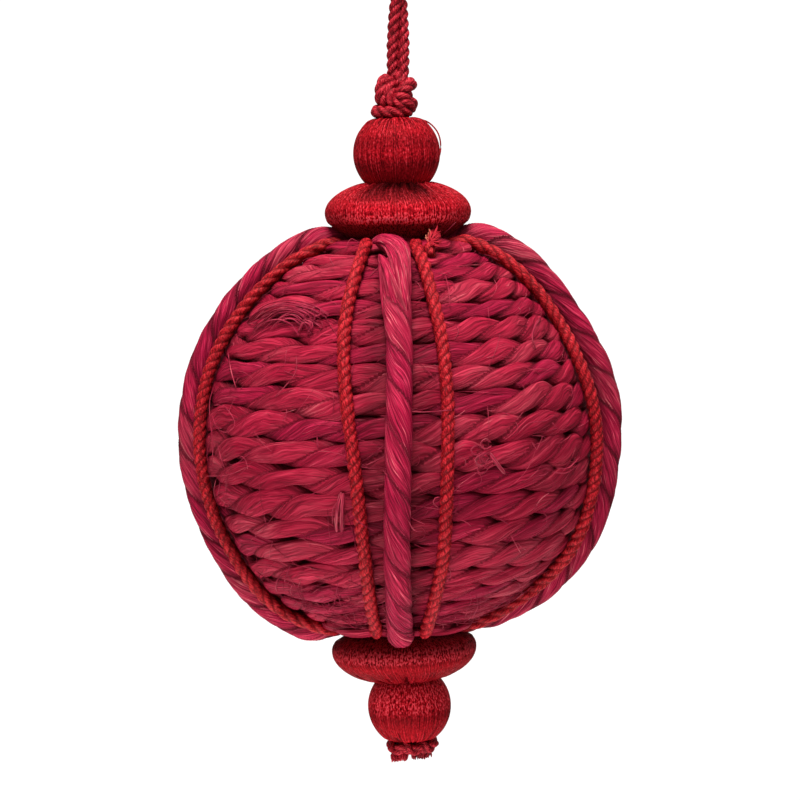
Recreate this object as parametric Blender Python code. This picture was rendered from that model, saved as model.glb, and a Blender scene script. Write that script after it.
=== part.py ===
"""Hanging ball ornament wound with twisted raffia rope.

A ball with rows of rope round it, four thick ropes and eight thin cords laid over it from pole to pole,
a thread-wound disc and bead at each end, a knotted cord with its hanging loop above and a small ruffled
knot below. Metres, +Z up, the front faces -Y. The origin is where a hook carries the hanging loop.
"""

import math

import bmesh
import bpy
import numpy as np
from mathutils import Euler

# Ball and its winding
BALL_WIDTH = 0.0876
SHOULDER_RISE = 0.0013
SHOULDER_FROM, SHOULDER_TO = math.radians(28), math.radians(62)
ROW_COUNT = 18
ROW_STOPS = (0.0013, -0.0003)
ROW_DRIFT = math.radians(1.8)
ROW_GROOVE = 0.0012
ROW_LOBES = 18
ROW_LOBE_DEPTH = 0.0004
ROW_SLANT = 0.14
ROW_CREASE = math.radians(30)
DISH_DEPTH = 0.0030
HUB_INSET, HUB_MARGIN = 0.0040, 0.0004

# Thick ropes and thin cords laid over the ball
ROPE_WIDTH = 0.0059
ROPE_LAY_LENGTH = 0.019
ROPE_FLUTE = 0.24
ROPE_TUCKS = (-0.0002, 0.0022)
ROPE_TURN_RADIUS = 0.0072
ROPE_END_SHARE = 0.66
EDGE_CORD_WIDTH = 0.0025
EDGE_TUCKS = (0.0018, 0.0020)
EDGE_TURN_RADIUS = 0.004
EDGE_POLE_OFFSET = 0.0050
EDGE_EQUATOR_OFFSET = 0.0102
TURN_ANGLE = math.radians(44)
TOUCH_GAP = 0.0003

# Thread-wound discs and beads
DISC_WIDTH = 0.0330
DISC_DOME = 0.0077
DISC_BELLY = 0.0070
DISC_BASE_DROP = 0.0055
DISC_LIP = 0.0004
TOP_BEAD_WIDTH = 0.0196
BOTTOM_BEAD_WIDTH = 0.0189
BEAD_FLAT = 0.76
BEAD_NEST = 0.0010
BEAD_DIMPLE = 0.0012
TOP_SHIFT, TOP_LEAN = -0.0006, math.radians(-1.2)
BOTTOM_SHIFT, BOTTOM_LEAN = 0.0012, math.radians(-3.0)

# Cord, knots and tuft
CORD_WIDTH = 0.0025
KNOT_HEIGHT = 0.0088
LOOP_DROP = 0.0352
BOTTOM_KNOT_WIDTH = 0.0118
BOTTOM_KNOT_HEIGHT = 0.0046
KNOT_GRAIN = 0.0010
KNOT_FOOT = 0.62 * CORD_WIDTH

# Route of the doubled cord through the top knot, in cord widths from the knot's centre
KNOT_ROUTE = (
    (0.0, -0.1, 1.9), (0.0, -0.2, 1.1), (0.4, 0.2, 0.3), (1.0, 0.8, -0.1), (0.1, 1.2, 0.6),
    (-1.15, 0.9, 1.1), (-1.7, 0.0, 1.15), (-1.3, -0.95, 0.4), (-0.6, -0.6, -0.5), (0.3, 0.1, -0.8),
    (1.2, 0.4, -0.8), (1.5, -0.5, -0.7), (0.6, -1.2, -0.6), (-0.6, -1.2, -0.8), (-1.5, -0.5, -0.9),
    (-1.2, 0.6, -0.7), (0.1, 1.1, -0.1), (1.2, 0.7, 0.5), (1.6, -0.2, 0.8), (0.9, -1.0, 0.3),
    (0.2, -0.7, -0.3), (0.0, 0.0, -1.3),
)

# Route of the hanging loop, one leg from the knot up to the hook; the other leg mirrors it through the axis
LOOP_LEG = (
    (-0.00135, 0.00036, -0.0352), (-0.00139, 0.00018, -0.0317), (-0.00140, -0.00010, -0.0282),
    (-0.00130, -0.00052, -0.0247), (-0.00105, -0.00093, -0.0212), (-0.00070, -0.00122, -0.0182),
    (-0.00020, -0.00139, -0.0157), (0.00055, -0.00131, -0.0134), (0.00145, -0.00090, -0.0113),
    (0.00262, -0.00042, -0.0092), (0.00392, -0.00012, -0.0070), (0.00480, 0.0, -0.0048),
    (0.00482, 0.0, -0.0024), (0.00372, 0.0, -0.0004), (0.00198, 0.0, 0.0009),
)
LOOP_TOP = (0.0, 0.0, CORD_WIDTH / 2)
LOOP_STEP = 1.1 * CORD_WIDTH

# Where the thick ropes lie: name and bearing, 0 at the front and 90 degrees at the right
ROPE_BEARINGS = {"front": 0, "right": 90, "back": 180, "left": 270}

# Each thin cord: the rope it edges, the side it lies on, and how much further out it lies in the upper half
EDGE_CORDS = {
    "front_left": ("front", -1, 0.85),
    "front_right": ("front", 1, -0.15),
    "right_front": ("right", -1, 0.10),
    "right_back": ("right", 1, -0.10),
    "back_right": ("back", -1, 0.20),
    "back_left": ("back", 1, -0.05),
    "left_back": ("left", -1, 0.10),
    "left_front": ("left", 1, 0.15),
}

# Latitudes that the functions below search
LATITUDES = np.radians(np.linspace(30, 88, 600))

# Facets
BALL_SIDES = 2 * ROW_LOBES
ROPE_RINGS, ROPE_SIDES = 26, 8
EDGE_RINGS, EDGE_SIDES = 16, 6
BEAD_RINGS, BEAD_SIDES = 7, 20
DISC_RINGS, DISC_SIDES = 4, 24
KNOT_RINGS, KNOT_TAIL_RINGS, KNOT_SIDES = 60, 4, 8


def unit(vectors):
    """Vectors scaled to length one."""
    return vectors / np.linalg.norm(vectors, axis=-1, keepdims=True)


def smooth_step(value):
    """0 below zero, 1 above one, with a soft start and end between."""
    share = np.clip(value, 0, 1)
    return share * share * (3 - 2 * share)


def smooth_curve(points, count):
    """Evenly spaced points on the Catmull-Rom curve through the given ones."""
    knots = np.asarray(points, float)
    ends = 2 * knots[0] - knots[1], 2 * knots[-1] - knots[-2]
    knots = np.vstack([ends[0], knots, ends[1]])
    share = np.linspace(0, 1, 12, endpoint=False)[:, None]
    pieces = []
    for a, b, c, d in zip(knots, knots[1:], knots[2:], knots[3:]):
        pieces.append(0.5 * (2 * b + (c - a) * share + (2 * a - 5 * b + 4 * c - d) * share**2
                             + (3 * b - 3 * c + d - a) * share**3))
    fine = np.vstack([*pieces, knots[-2]])
    length = np.concatenate([[0], np.cumsum(np.linalg.norm(np.diff(fine, axis=0), axis=1))])
    stops = np.linspace(0, length[-1], count)
    return np.stack([np.interp(stops, length, fine[:, axis]) for axis in range(3)], axis=1)


def make_material(name, colour, roughness):
    """A plain dielectric material."""
    material = bpy.data.materials.new(name)
    material.use_nodes = True
    shader = material.node_tree.nodes["Principled BSDF"]
    shader.inputs["Base Color"].default_value = (*colour, 1)
    shader.inputs["Roughness"].default_value = roughness
    shader.inputs["Metallic"].default_value = 0
    return material


RAFFIA = make_material("dyed raffia rows", (0.30, 0.012, 0.035), 0.6)
ROPE_RAFFIA = make_material("dyed raffia rope", (0.38, 0.012, 0.055), 0.55)
CORD = make_material("twisted cord", (0.38, 0.012, 0.015), 0.45)
THREAD = make_material("wound thread", (0.34, 0.008, 0.014), 0.4)


def add_rings(mesh, rings):
    """Skin a stack of rings into one closed body, with a fan at each end."""
    rows = [[mesh.verts.new(point) for point in ring] for ring in rings]
    count = len(rows[0])
    for low, high in zip(rows, rows[1:]):
        for k in range(count):
            following = (k + 1) % count
            mesh.faces.new((low[k], low[following], high[following], high[k]))
    for row in (rows[0], rows[-1]):
        middle = mesh.verts.new(sum((vertex.co for vertex in row), row[0].co * 0) / count)
        for k in range(count):
            mesh.faces.new((row[k], row[(k + 1) % count], middle))


def make_object(name, bodies, material, parent, crease=math.radians(50)):
    """One object from one or more ring stacks, facing outwards, smooth but for edges over the crease."""
    mesh = bmesh.new()
    for rings in bodies:
        add_rings(mesh, rings)
    bmesh.ops.recalc_face_normals(mesh, faces=mesh.faces)
    data = bpy.data.meshes.new(name)
    mesh.to_mesh(data)
    mesh.free()
    data.shade_smooth()
    data.set_sharp_from_angle(angle=crease)
    data.materials.append(material)
    made = bpy.data.objects.new(name, data)
    bpy.context.collection.objects.link(made)
    made.parent = parent
    return made


def fuse(made):
    """Join an object's overlapping strands into one closed skin."""
    remesh = made.modifiers.new("fused strands", "REMESH")
    remesh.mode = "VOXEL"
    remesh.voxel_size = KNOT_GRAIN
    remesh.use_smooth_shade = True


def turned(profile, sides):
    """Rings of a turned form from its (radius, height) points."""
    radius, height = np.asarray(profile, float).T
    turn = np.linspace(0, 2 * math.pi, sides, endpoint=False)
    rings = np.zeros((len(radius), sides, 3))
    rings[..., 0] = radius[:, None] * np.cos(turn)
    rings[..., 1] = radius[:, None] * np.sin(turn)
    rings[..., 2] = height[:, None]
    return rings


def swept(path, outward, radius, sides, twist=0.0, flute=0.0):
    """Rings along a path: a two-lobed section that turns with the path's length."""
    along = unit(np.gradient(path, axis=0))
    side = unit(np.cross(along, outward))
    out = np.cross(side, along)
    run = np.concatenate([[0], np.cumsum(np.linalg.norm(np.diff(path, axis=0), axis=1))])
    angle = np.linspace(0, 2 * math.pi, sides, endpoint=False)[None, :]
    lobes = 1 - flute * (0.5 - 0.5 * np.cos(2 * (angle - twist * run[:, None])))
    reach = (np.broadcast_to(radius, len(path))[:, None] * lobes)[..., None]
    ring = np.cos(angle)[..., None] * out[:, None] + np.sin(angle)[..., None] * side[:, None]
    return path[:, None] + reach * ring


def bearing_vectors(bearing):
    """Unit vectors outwards and to the right at a bearing round the ball."""
    return np.array([math.sin(bearing), -math.cos(bearing), 0]), np.array(
        [math.cos(bearing), math.sin(bearing), 0])


def winding_radius(latitude):
    """Radius over the crests of the rows, fuller at the upper shoulder."""
    rise = smooth_step((latitude - SHOULDER_FROM) / (SHOULDER_TO - SHOULDER_FROM))
    return BALL_WIDTH / 2 + SHOULDER_RISE * rise


def latitude_where(end_radius, radius):
    """Latitude, in the fine table below, where a distance from the axis has fallen to a given radius."""
    return np.interp(-radius, -end_radius, LATITUDES)


def row_edges():
    """Latitudes of the grooves between rows, spaced a little wider below the middle.

    The first and last lie a named stop outside the discs' rims.
    """
    low, high = (latitude_where(winding_radius(sign * LATITUDES) * np.cos(LATITUDES), DISC_WIDTH / 2 + stop)
                 for sign, stop in zip((-1, 1), ROW_STOPS))
    even = np.linspace(-low, high, ROW_COUNT + 1)
    return even + ROW_DRIFT * np.cos(2 * even)


def ball_rings(hub_heights):
    """The wound ball: a groove and a lobed crest for each row, and a hub in a shallow dish at each pole."""
    bearing = np.linspace(0, 2 * math.pi, BALL_SIDES, endpoint=False)
    edges = row_edges()
    rings = []

    def ring(latitude, radius):
        """One ring; latitude and radius may vary round it."""
        latitude = np.broadcast_to(latitude, bearing.shape)
        flat = radius * np.cos(latitude)
        rings.append(np.stack([flat * np.sin(bearing), -flat * np.cos(bearing),
                               radius * np.sin(latitude)], axis=1))

    def flat_ring(radius, height):
        """One level ring of a given radius and height over the ball's centre."""
        ring(math.atan2(height, radius), math.hypot(height, radius))

    def dish_floor(latitude):
        """Height of the dish's floor inside the last row at this latitude."""
        depth = winding_radius(latitude) * math.sin(abs(latitude)) - ROW_GROOVE - DISH_DEPTH
        return math.copysign(depth, latitude)

    foot_radius = DISC_WIDTH / 2 - HUB_INSET
    flat_ring(hub_radius(), -hub_heights[0])
    flat_ring(foot_radius, dish_floor(edges[0]))
    for row, (low, high) in enumerate(zip(edges, edges[1:])):
        ring(low, winding_radius(low) - ROW_GROOVE)
        lobe = np.cos(ROW_LOBES * bearing + math.pi * row)
        middle = (low + high) / 2
        crest = winding_radius(middle) - ROW_LOBE_DEPTH * (0.5 - 0.5 * lobe)
        ring(middle + ROW_SLANT * (high - low) * lobe, crest)
    ring(edges[-1], winding_radius(edges[-1]) - ROW_GROOVE)
    flat_ring(foot_radius, dish_floor(edges[-1]))
    flat_ring(hub_radius(), hub_heights[1])
    return rings


def laid_line(width, tucks, turn_radius, count):
    """Centre line, as (radius, height, latitude), of a cord laid on the rows from pole to pole.

    It follows the winding, then turns in under the discs and ends a named tuck inside their rims.
    """
    lift = TOUCH_GAP + width / 2
    colatitude = math.pi / 2 - LATITUDES
    drawn_in = turn_radius * (np.sin(colatitude) - np.sin(colatitude - TURN_ANGLE))
    turn_in = [latitude_where((winding_radius(sign * LATITUDES) + lift) * np.cos(LATITUDES) - drawn_in,
                              DISC_WIDTH / 2 - tuck) for sign, tuck in zip((-1, 1), tucks)]
    arc = np.linspace(-turn_in[0], turn_in[1], 200)
    reach = winding_radius(arc) + lift
    radius, height = reach * np.cos(arc), reach * np.sin(arc)
    turn = np.linspace(0, TURN_ANGLE, 30)[1:]
    ends = []
    for start, sign, latitude in ((0, -1, turn_in[0]), (-1, 1, turn_in[1])):
        heading = math.pi / 2 - latitude
        inwards = turn_radius * (np.sin(heading) - np.sin(heading - turn))
        upwards = turn_radius * (np.cos(heading - turn) - np.cos(heading))
        ends.append((radius[start] - inwards, height[start] + sign * upwards,
                     np.full(len(turn), sign * latitude)))
    line = np.concatenate([
        np.stack(ends[0], axis=1)[::-1], np.stack([radius, height, arc], axis=1),
        np.stack(ends[1], axis=1)])
    run = np.concatenate([[0], np.cumsum(np.linalg.norm(np.diff(line[:, :2], axis=0), axis=1))])
    stops = np.linspace(0, run[-1], count)
    return np.stack([np.interp(stops, run, line[:, column]) for column in range(3)], axis=1)


def rope_rings(bearing):
    """A thick two-strand rope from pole to pole, pinched at both ends under the discs."""
    radius, height, latitude = laid_line(ROPE_WIDTH, ROPE_TUCKS, ROPE_TURN_RADIUS, ROPE_RINGS).T
    out, _ = bearing_vectors(bearing)
    path = radius[:, None] * out + height[:, None] * np.array([0, 0, 1])
    turned_in = np.where(latitude > 0, radius[latitude.argmax()], radius[latitude.argmin()]) - radius
    pinch = smooth_step(turned_in / ROPE_TURN_RADIUS)
    half_width = ROPE_WIDTH / 2 * (1 - (1 - ROPE_END_SHARE) * pinch)
    return swept(path, unit(path), half_width, ROPE_SIDES, -2 * math.pi / ROPE_LAY_LENGTH, ROPE_FLUTE)


def edge_cord_rings(bearing, side, upper_sway):
    """A thin cord beside a thick rope: it bows away from the rope towards the equator."""
    radius, height, latitude = laid_line(EDGE_CORD_WIDTH, EDGE_TUCKS, EDGE_TURN_RADIUS, EDGE_RINGS).T
    end = np.cos(np.where(latitude > 0, latitude[-1], latitude[0]))
    bow = (np.cos(latitude) - end) / (1 - end)
    bow = bow * (1 + upper_sway * np.sin(latitude))
    offset = EDGE_POLE_OFFSET + (EDGE_EQUATOR_OFFSET - EDGE_POLE_OFFSET) * bow
    out, right = bearing_vectors(bearing)
    forward = np.sqrt(radius**2 - offset**2)
    path = (forward[:, None] * out + side * offset[:, None] * right
            + height[:, None] * np.array([0, 0, 1]))
    return swept(path, unit(path), EDGE_CORD_WIDTH / 2, EDGE_SIDES)


def base_angle():
    """Angle round the disc's belly, down from its rim, at which the flat base cuts it off."""
    return math.asin(DISC_BASE_DROP / DISC_BELLY)


def disc_profile(bead_width):
    """Half a lens, wound side down: base, belly, rim, dome and the seat that its bead nests in."""
    rim = DISC_WIDTH / 2
    floor_radius, mouth_radius = bead_seat(bead_width)
    neck_radius = mouth_radius + DISC_LIP
    base = base_angle()
    neck = math.acos(neck_radius / rim)
    profile = [(rim * math.cos(base) / 2, -DISC_BASE_DROP)]
    for angle in np.linspace(-base, 0, DISC_RINGS, endpoint=False):
        profile.append((rim * math.cos(angle), DISC_BELLY * math.sin(angle)))
    for angle in np.linspace(0, neck, DISC_RINGS):
        profile.append((rim * math.cos(angle), DISC_DOME * math.sin(angle)))
    top = profile[-1][1]
    profile.append((mouth_radius, top))
    profile.append((floor_radius, top - BEAD_NEST - TOUCH_GAP))
    return profile


def disc_seat(sign, shift, lean):
    """Height over the ball's centre of a disc's rim, when its belly comes down just clear of the ropes."""
    ropes = np.concatenate([rope_rings(math.radians(degrees)).reshape(-1, 3)
                            for degrees in ROPE_BEARINGS.values()])
    across = ropes[:, 0] - shift
    reach = np.minimum(np.hypot(across, ropes[:, 1]) / (DISC_WIDTH / 2), 1)
    level = sign * (ropes[:, 2] + across * math.tan(lean)) + DISC_BELLY * np.sqrt(1 - reach**2)
    return level[reach < 1].max() + TOUCH_GAP


def hub_radius():
    """Radius of the ball's hub where it meets the flat base of a disc."""
    return DISC_WIDTH / 2 * math.cos(base_angle()) - HUB_MARGIN


def hub_height(rim_height, lean):
    """Height over the ball's centre at which the ball's hub just clears the leaning disc's base."""
    return rim_height - DISC_BASE_DROP - TOUCH_GAP - hub_radius() * math.tan(abs(lean))


def disc_top():
    """Height of a disc's neck over its rim, for the top and for the bottom bead."""
    return [disc_profile(width)[-2][1] for width in (TOP_BEAD_WIDTH, BOTTOM_BEAD_WIDTH)]


def bead_seat(bead_width):
    """Radii of the floor and the mouth of the seat that a bead nests in."""
    half_height = BEAD_FLAT * bead_width / 2
    floor_radius = math.sqrt((bead_width / 2) ** 2 - half_height**2) + TOUCH_GAP
    mouth_radius = math.sqrt((bead_width / 2) ** 2 - (half_height - BEAD_NEST) ** 2) + TOUCH_GAP
    return floor_radius, mouth_radius


def bead_profile(bead_width):
    """A ball flattened at both poles, with a dimple in each flat."""
    limit = math.asin(BEAD_FLAT)
    profile = []
    for angle in np.linspace(-limit, limit, BEAD_RINGS):
        profile.append((bead_width / 2 * math.cos(angle), bead_width / 2 * math.sin(angle)))
    radius, height = profile[-1]
    dimple = (radius * 0.4, height - BEAD_DIMPLE)
    return [(dimple[0], -dimple[1]), *profile, dimple]


def carried_outward(path):
    """A direction square to the path, carried along it without turning about it."""
    along = unit(np.gradient(path, axis=0))
    normals = [np.array([0.0, -1.0, 0.0])]
    for direction in along[1:]:
        normal = normals[-1] - direction * np.dot(normals[-1], direction)
        normals.append(normal / np.linalg.norm(normal))
    return np.array(normals)


def top_knot_bodies():
    """The doubled cord's two strands, side by side along the knot's route, standing on height zero."""
    path = smooth_curve(KNOT_ROUTE, KNOT_RINGS) * CORD_WIDTH
    lowest = path[:-KNOT_TAIL_RINGS, 2].min()
    share = (path[:, 2] - lowest) / (path[0, 2] - lowest)
    path[:, 2] = KNOT_FOOT + np.maximum(share, 0) * (KNOT_HEIGHT - KNOT_FOOT)
    facing = path * (1, 1, 0) + np.array([0, -0.6 * CORD_WIDTH, 0])
    side = unit(np.cross(unit(np.gradient(path, axis=0)), unit(facing)))
    bodies = []
    for sign in (-1, 1):
        strand = path + sign * side * CORD_WIDTH * 0.46
        bodies.append(swept(strand, carried_outward(strand), CORD_WIDTH / 2, KNOT_SIDES))
    return bodies


def bottom_knot_bodies():
    """A ruffled collar of looped strand, a short plug and two splayed tufts of cut ends."""
    half = BOTTOM_KNOT_WIDTH / 2
    turn = np.linspace(0, 2 * math.pi, 49)
    wave = 0.86 + 0.14 * np.cos(5 * turn + 0.6)
    radius = (half - CORD_WIDTH * 0.45) * wave
    collar = np.stack([radius * np.cos(turn), radius * np.sin(turn),
                       -0.28 * BOTTOM_KNOT_HEIGHT + 0.0005 * np.sin(5 * turn)], axis=1)
    bodies = [swept(collar, np.tile([0.0, 0.0, 1.0], (len(turn), 1)), CORD_WIDTH * 0.42, KNOT_SIDES)]
    plug = [(half * 0.62, -0.08), (half * 0.74, -0.25), (half * 0.6, -0.55), (half * 0.45, -0.7)]
    bodies.append(turned([(r, h * BOTTOM_KNOT_HEIGHT) for r, h in plug], 16))
    for lean, width, tilt in ((-0.55, 0.30, 0.1), (0.50, 0.36, -0.15)):
        start = np.array([lean * half * 0.5, tilt * half, -0.45 * BOTTOM_KNOT_HEIGHT])
        end = np.array([lean * half, tilt * half * 2, -BOTTOM_KNOT_HEIGHT])
        strand = start + np.linspace(0, 1, 6)[:, None] * (end - start)
        flare = half * width * np.linspace(0.9, 1.15, 6)
        bodies.append(swept(strand, np.tile([0.0, -1.0, 0.0], (6, 1)), flare, KNOT_SIDES))
    return bodies


def hanging_loop():
    """The free cord: up from the knot, round the hook and down again, as a round curve with filled caps."""
    leg = np.array(LOOP_LEG)
    route = np.vstack([leg, LOOP_TOP, (leg * (-1, -1, 1))[::-1]])
    length = np.linalg.norm(np.diff(smooth_curve(route, 400), axis=0), axis=1).sum()
    points = smooth_curve(route, round(length / LOOP_STEP) + 1)
    height = np.clip(-points[:, 2] / LOOP_DROP, 0, 1)
    points[:, 0] += TOP_SHIFT * height
    curve = bpy.data.curves.new("hanging_loop", "CURVE")
    curve.dimensions = "3D"
    curve.bevel_depth = CORD_WIDTH / 2
    curve.bevel_resolution = 2
    curve.use_fill_caps = True
    spline = curve.splines.new("POLY")
    spline.points.add(len(points) - 1)
    spline.points.foreach_set("co", np.hstack([points, np.ones((len(points), 1))]).ravel())
    curve.materials.append(CORD)
    bpy.context.collection.objects.link(bpy.data.objects.new("hanging_loop", curve))


def empty(name, location, lean=0.0):
    """A frame that pieces are placed in."""
    frame = bpy.data.objects.new(name, None)
    frame.location = location
    frame.rotation_euler = Euler((0, lean, 0))
    bpy.context.collection.objects.link(frame)
    return frame


def finial(name, sign, rim_height, shift, lean, bead_width, neck, knot_bodies):
    """A disc, its bead and its knot, stacked outwards from the ball on one leaning axis."""
    frame = empty(name + "_axis", (shift, 0, centre_height + sign * rim_height), lean)
    upright = (0, 0, 0) if sign > 0 else (math.pi, 0, 0)
    disc = make_object(name + "_disc", [turned(disc_profile(bead_width), DISC_SIDES)], THREAD, frame)
    disc.rotation_euler = Euler(upright)
    half_bead = BEAD_FLAT * bead_width / 2
    bead = make_object(name + "_bead", [turned(bead_profile(bead_width), BEAD_SIDES)], THREAD, frame)
    bead.location = (0, 0, sign * (neck - BEAD_NEST + half_bead))
    knot = make_object(name + "_knot", knot_bodies, CORD, frame)
    knot.location = (0, 0, sign * (neck - BEAD_NEST + 2 * half_bead + TOUCH_GAP))
    fuse(knot)


for old in list(bpy.data.objects):
    bpy.data.objects.remove(old)

top_neck, bottom_neck = disc_top()
top_rim, bottom_rim = disc_seat(1, TOP_SHIFT, TOP_LEAN), disc_seat(-1, BOTTOM_SHIFT, BOTTOM_LEAN)
top_stack = top_rim + top_neck - BEAD_NEST + BEAD_FLAT * TOP_BEAD_WIDTH + TOUCH_GAP + KNOT_HEIGHT
centre_height = -(LOOP_DROP + TOUCH_GAP + top_stack)

centre = empty("ball_centre", (0, 0, centre_height))
hubs = hub_height(bottom_rim, BOTTOM_LEAN), hub_height(top_rim, TOP_LEAN)
make_object("raffia_ball", [ball_rings(hubs)], RAFFIA, centre, ROW_CREASE)
for place, degrees in ROPE_BEARINGS.items():
    make_object("raffia_rope_" + place, [rope_rings(math.radians(degrees))], ROPE_RAFFIA, centre)
for place, (rope, side, sway) in EDGE_CORDS.items():
    rings = edge_cord_rings(math.radians(ROPE_BEARINGS[rope]), side, sway)
    make_object("edge_cord_" + place, [rings], CORD, centre)
finial("top", 1, top_rim, TOP_SHIFT, TOP_LEAN, TOP_BEAD_WIDTH, top_neck, top_knot_bodies())
finial("bottom", -1, bottom_rim, BOTTOM_SHIFT, BOTTOM_LEAN, BOTTOM_BEAD_WIDTH, bottom_neck,
       bottom_knot_bodies())
hanging_loop()
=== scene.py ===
"""Looks of the hanging ball ornament: raffia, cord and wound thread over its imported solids."""

import math

import bpy
import numpy as np
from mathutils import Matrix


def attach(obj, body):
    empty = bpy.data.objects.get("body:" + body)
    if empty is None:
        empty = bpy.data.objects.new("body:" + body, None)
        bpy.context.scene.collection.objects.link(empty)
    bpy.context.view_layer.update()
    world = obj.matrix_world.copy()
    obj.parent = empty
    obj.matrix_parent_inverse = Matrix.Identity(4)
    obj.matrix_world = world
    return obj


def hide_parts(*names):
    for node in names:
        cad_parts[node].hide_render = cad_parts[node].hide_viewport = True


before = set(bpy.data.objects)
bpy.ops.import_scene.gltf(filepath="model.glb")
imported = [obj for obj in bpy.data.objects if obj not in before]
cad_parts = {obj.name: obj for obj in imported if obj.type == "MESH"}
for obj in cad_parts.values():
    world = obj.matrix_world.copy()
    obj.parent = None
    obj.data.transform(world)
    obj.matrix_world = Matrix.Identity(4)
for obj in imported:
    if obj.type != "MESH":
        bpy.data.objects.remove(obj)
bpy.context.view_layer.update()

# The ball. Two-strand rope of dyed raffia, wound in level rows from pole to pole and glued down. Each strand
# is a bundle of torn leaf strips, so every lobe of a row shows fine streaks from pale pink to deep crimson,
# and the rows press on each other with pits where two strands cross, darkened with painted shade.
BALL_HEIGHT = -0.11604
WINDING_RADIUS = 0.0438
SHOULDER_RISE = 0.0013
SHOULDER = math.radians(28), math.radians(62)
ROW_REACH = math.radians(66.02), math.radians(68.95)
ROW_COUNT = 18
ROW_DRIFT = math.radians(1.8)
ROW_SWAY = math.radians(0.60)
ROW_SWELL = 0.0006
# A row's section against a round rope: how deep and broad it is and how flat its front is, how far the
# strands' middles lie from the centre, and half the arc that shows. Its back is a few points, as shares of
# the width and the pitch.
ROW_DEPTH, ROW_BREADTH, ROW_FLATNESS = 0.56, 1.15, 0.75
ROW_SPREAD = 0.150
ROW_ARC = math.radians(102)
ROW_BACK = np.array([(-0.16, 0.55), (-0.42, 0.47), (-0.42, -0.47), (-0.16, -0.55)])
# The twist of its strands: the length of a turn, how much closer turns are on the right, how uneven they are.
ROW_LAY = 0.0265
ROW_LAY_DRIFT = 0.30
ROW_WOBBLE = 0.32
# The fibres' climb, its rise to the right and its spread from lobe to lobe, then their arch and gather.
ROW_SLANT, ROW_SLANT_DRIFT, ROW_SLANT_SPREAD = 0.30, 0.10, 0.07
ROW_ARCH, ROW_GATHER = 0.016, 0.3
ROW_STEP = 0.00090
ROW_FACETS = 44
# Rows that go on under the discs, and how far each of them stands out.
POLE_ROWS = 3
POLE_ROW_PITCH = math.radians(6.8)
UPPER_RISE, LOWER_RISE = (0.0012, 0.0012, 0.0), (0.0018, 0.0012, 0.0)
# Soft swellings of the ball: (bearing and latitude in degrees, rise).
SAGS = (270, -54, 0.0017), (270, 27, 0.0006), (90, 60, 0.0009), (90, 14, 0.0008), (90, -28, 0.0011)
SAG_SPREAD = 0.30
# The shade beside the front rope and beside the others: how dark it is, how far round it stays so, and over
# what it fades.
FRONT_SHADE, SIDE_SHADE = (0.55, 0.13, 0.13), (0.85, 0.25, 0.10)
# Widths of the leaf strips and fibres in millimetres, and how far they stand up.
STRIP, FIBRE = 0.62, 0.34
STRIP_RELIEF, FIBRE_RELIEF = 0.00011, 0.00006
MM = 1000.0


def smooth_step(value):
    """0 below zero, 1 above one, and between them three times the square less twice the cube."""
    share = np.clip(value, 0, 1)
    return share * share * (3 - 2 * share)


def round_axis(radius, bearing, height):
    """Points at a radius and a bearing round the upright axis, the bearing 0 at the front."""
    return np.stack([radius * np.sin(bearing), -radius * np.cos(bearing), height + 0 * bearing], axis=-1)


def marks(across, along, offset, tone, pit, light=1.0):
    """Fields of a grid: its place across and along the fibres, then its tone, its darkness and its light."""
    parts = np.broadcast_arrays(across, along, offset, tone, pit, light)
    return {"strand": np.stack(parts[:3], axis=-1), "shade": np.stack(parts[3:], axis=-1)}


def grain(across, along, seed):
    """Noise from -1 to 1: random values on a square lattice, blended by a soft step between its points."""
    table = np.random.default_rng(seed).uniform(-1, 1, (211, 223))
    row, column = np.floor(across), np.floor(along)
    u, v = smooth_step(across - row), smooth_step(along - column)
    row, column = row.astype(int) % 211, column.astype(int) % 223
    below, beside = (row + 1) % 211, (column + 1) % 223
    return ((table[row, column] * (1 - u) + table[below, column] * u) * (1 - v)
            + (table[row, beside] * (1 - u) + table[below, beside] * u) * v)


def sway(turn, count, seed):
    """A closed wave round the ball: sines of 1 to count periods, random in phase, fading with the period."""
    rng = np.random.default_rng(seed)
    periods = np.arange(1, count + 1)
    height = rng.uniform(0.4, 1, count) / np.sqrt(periods)
    phase = rng.uniform(0, 2 * math.pi, count)
    return (height * np.sin(turn[..., None] * periods + phase)).sum(axis=-1)


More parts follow.
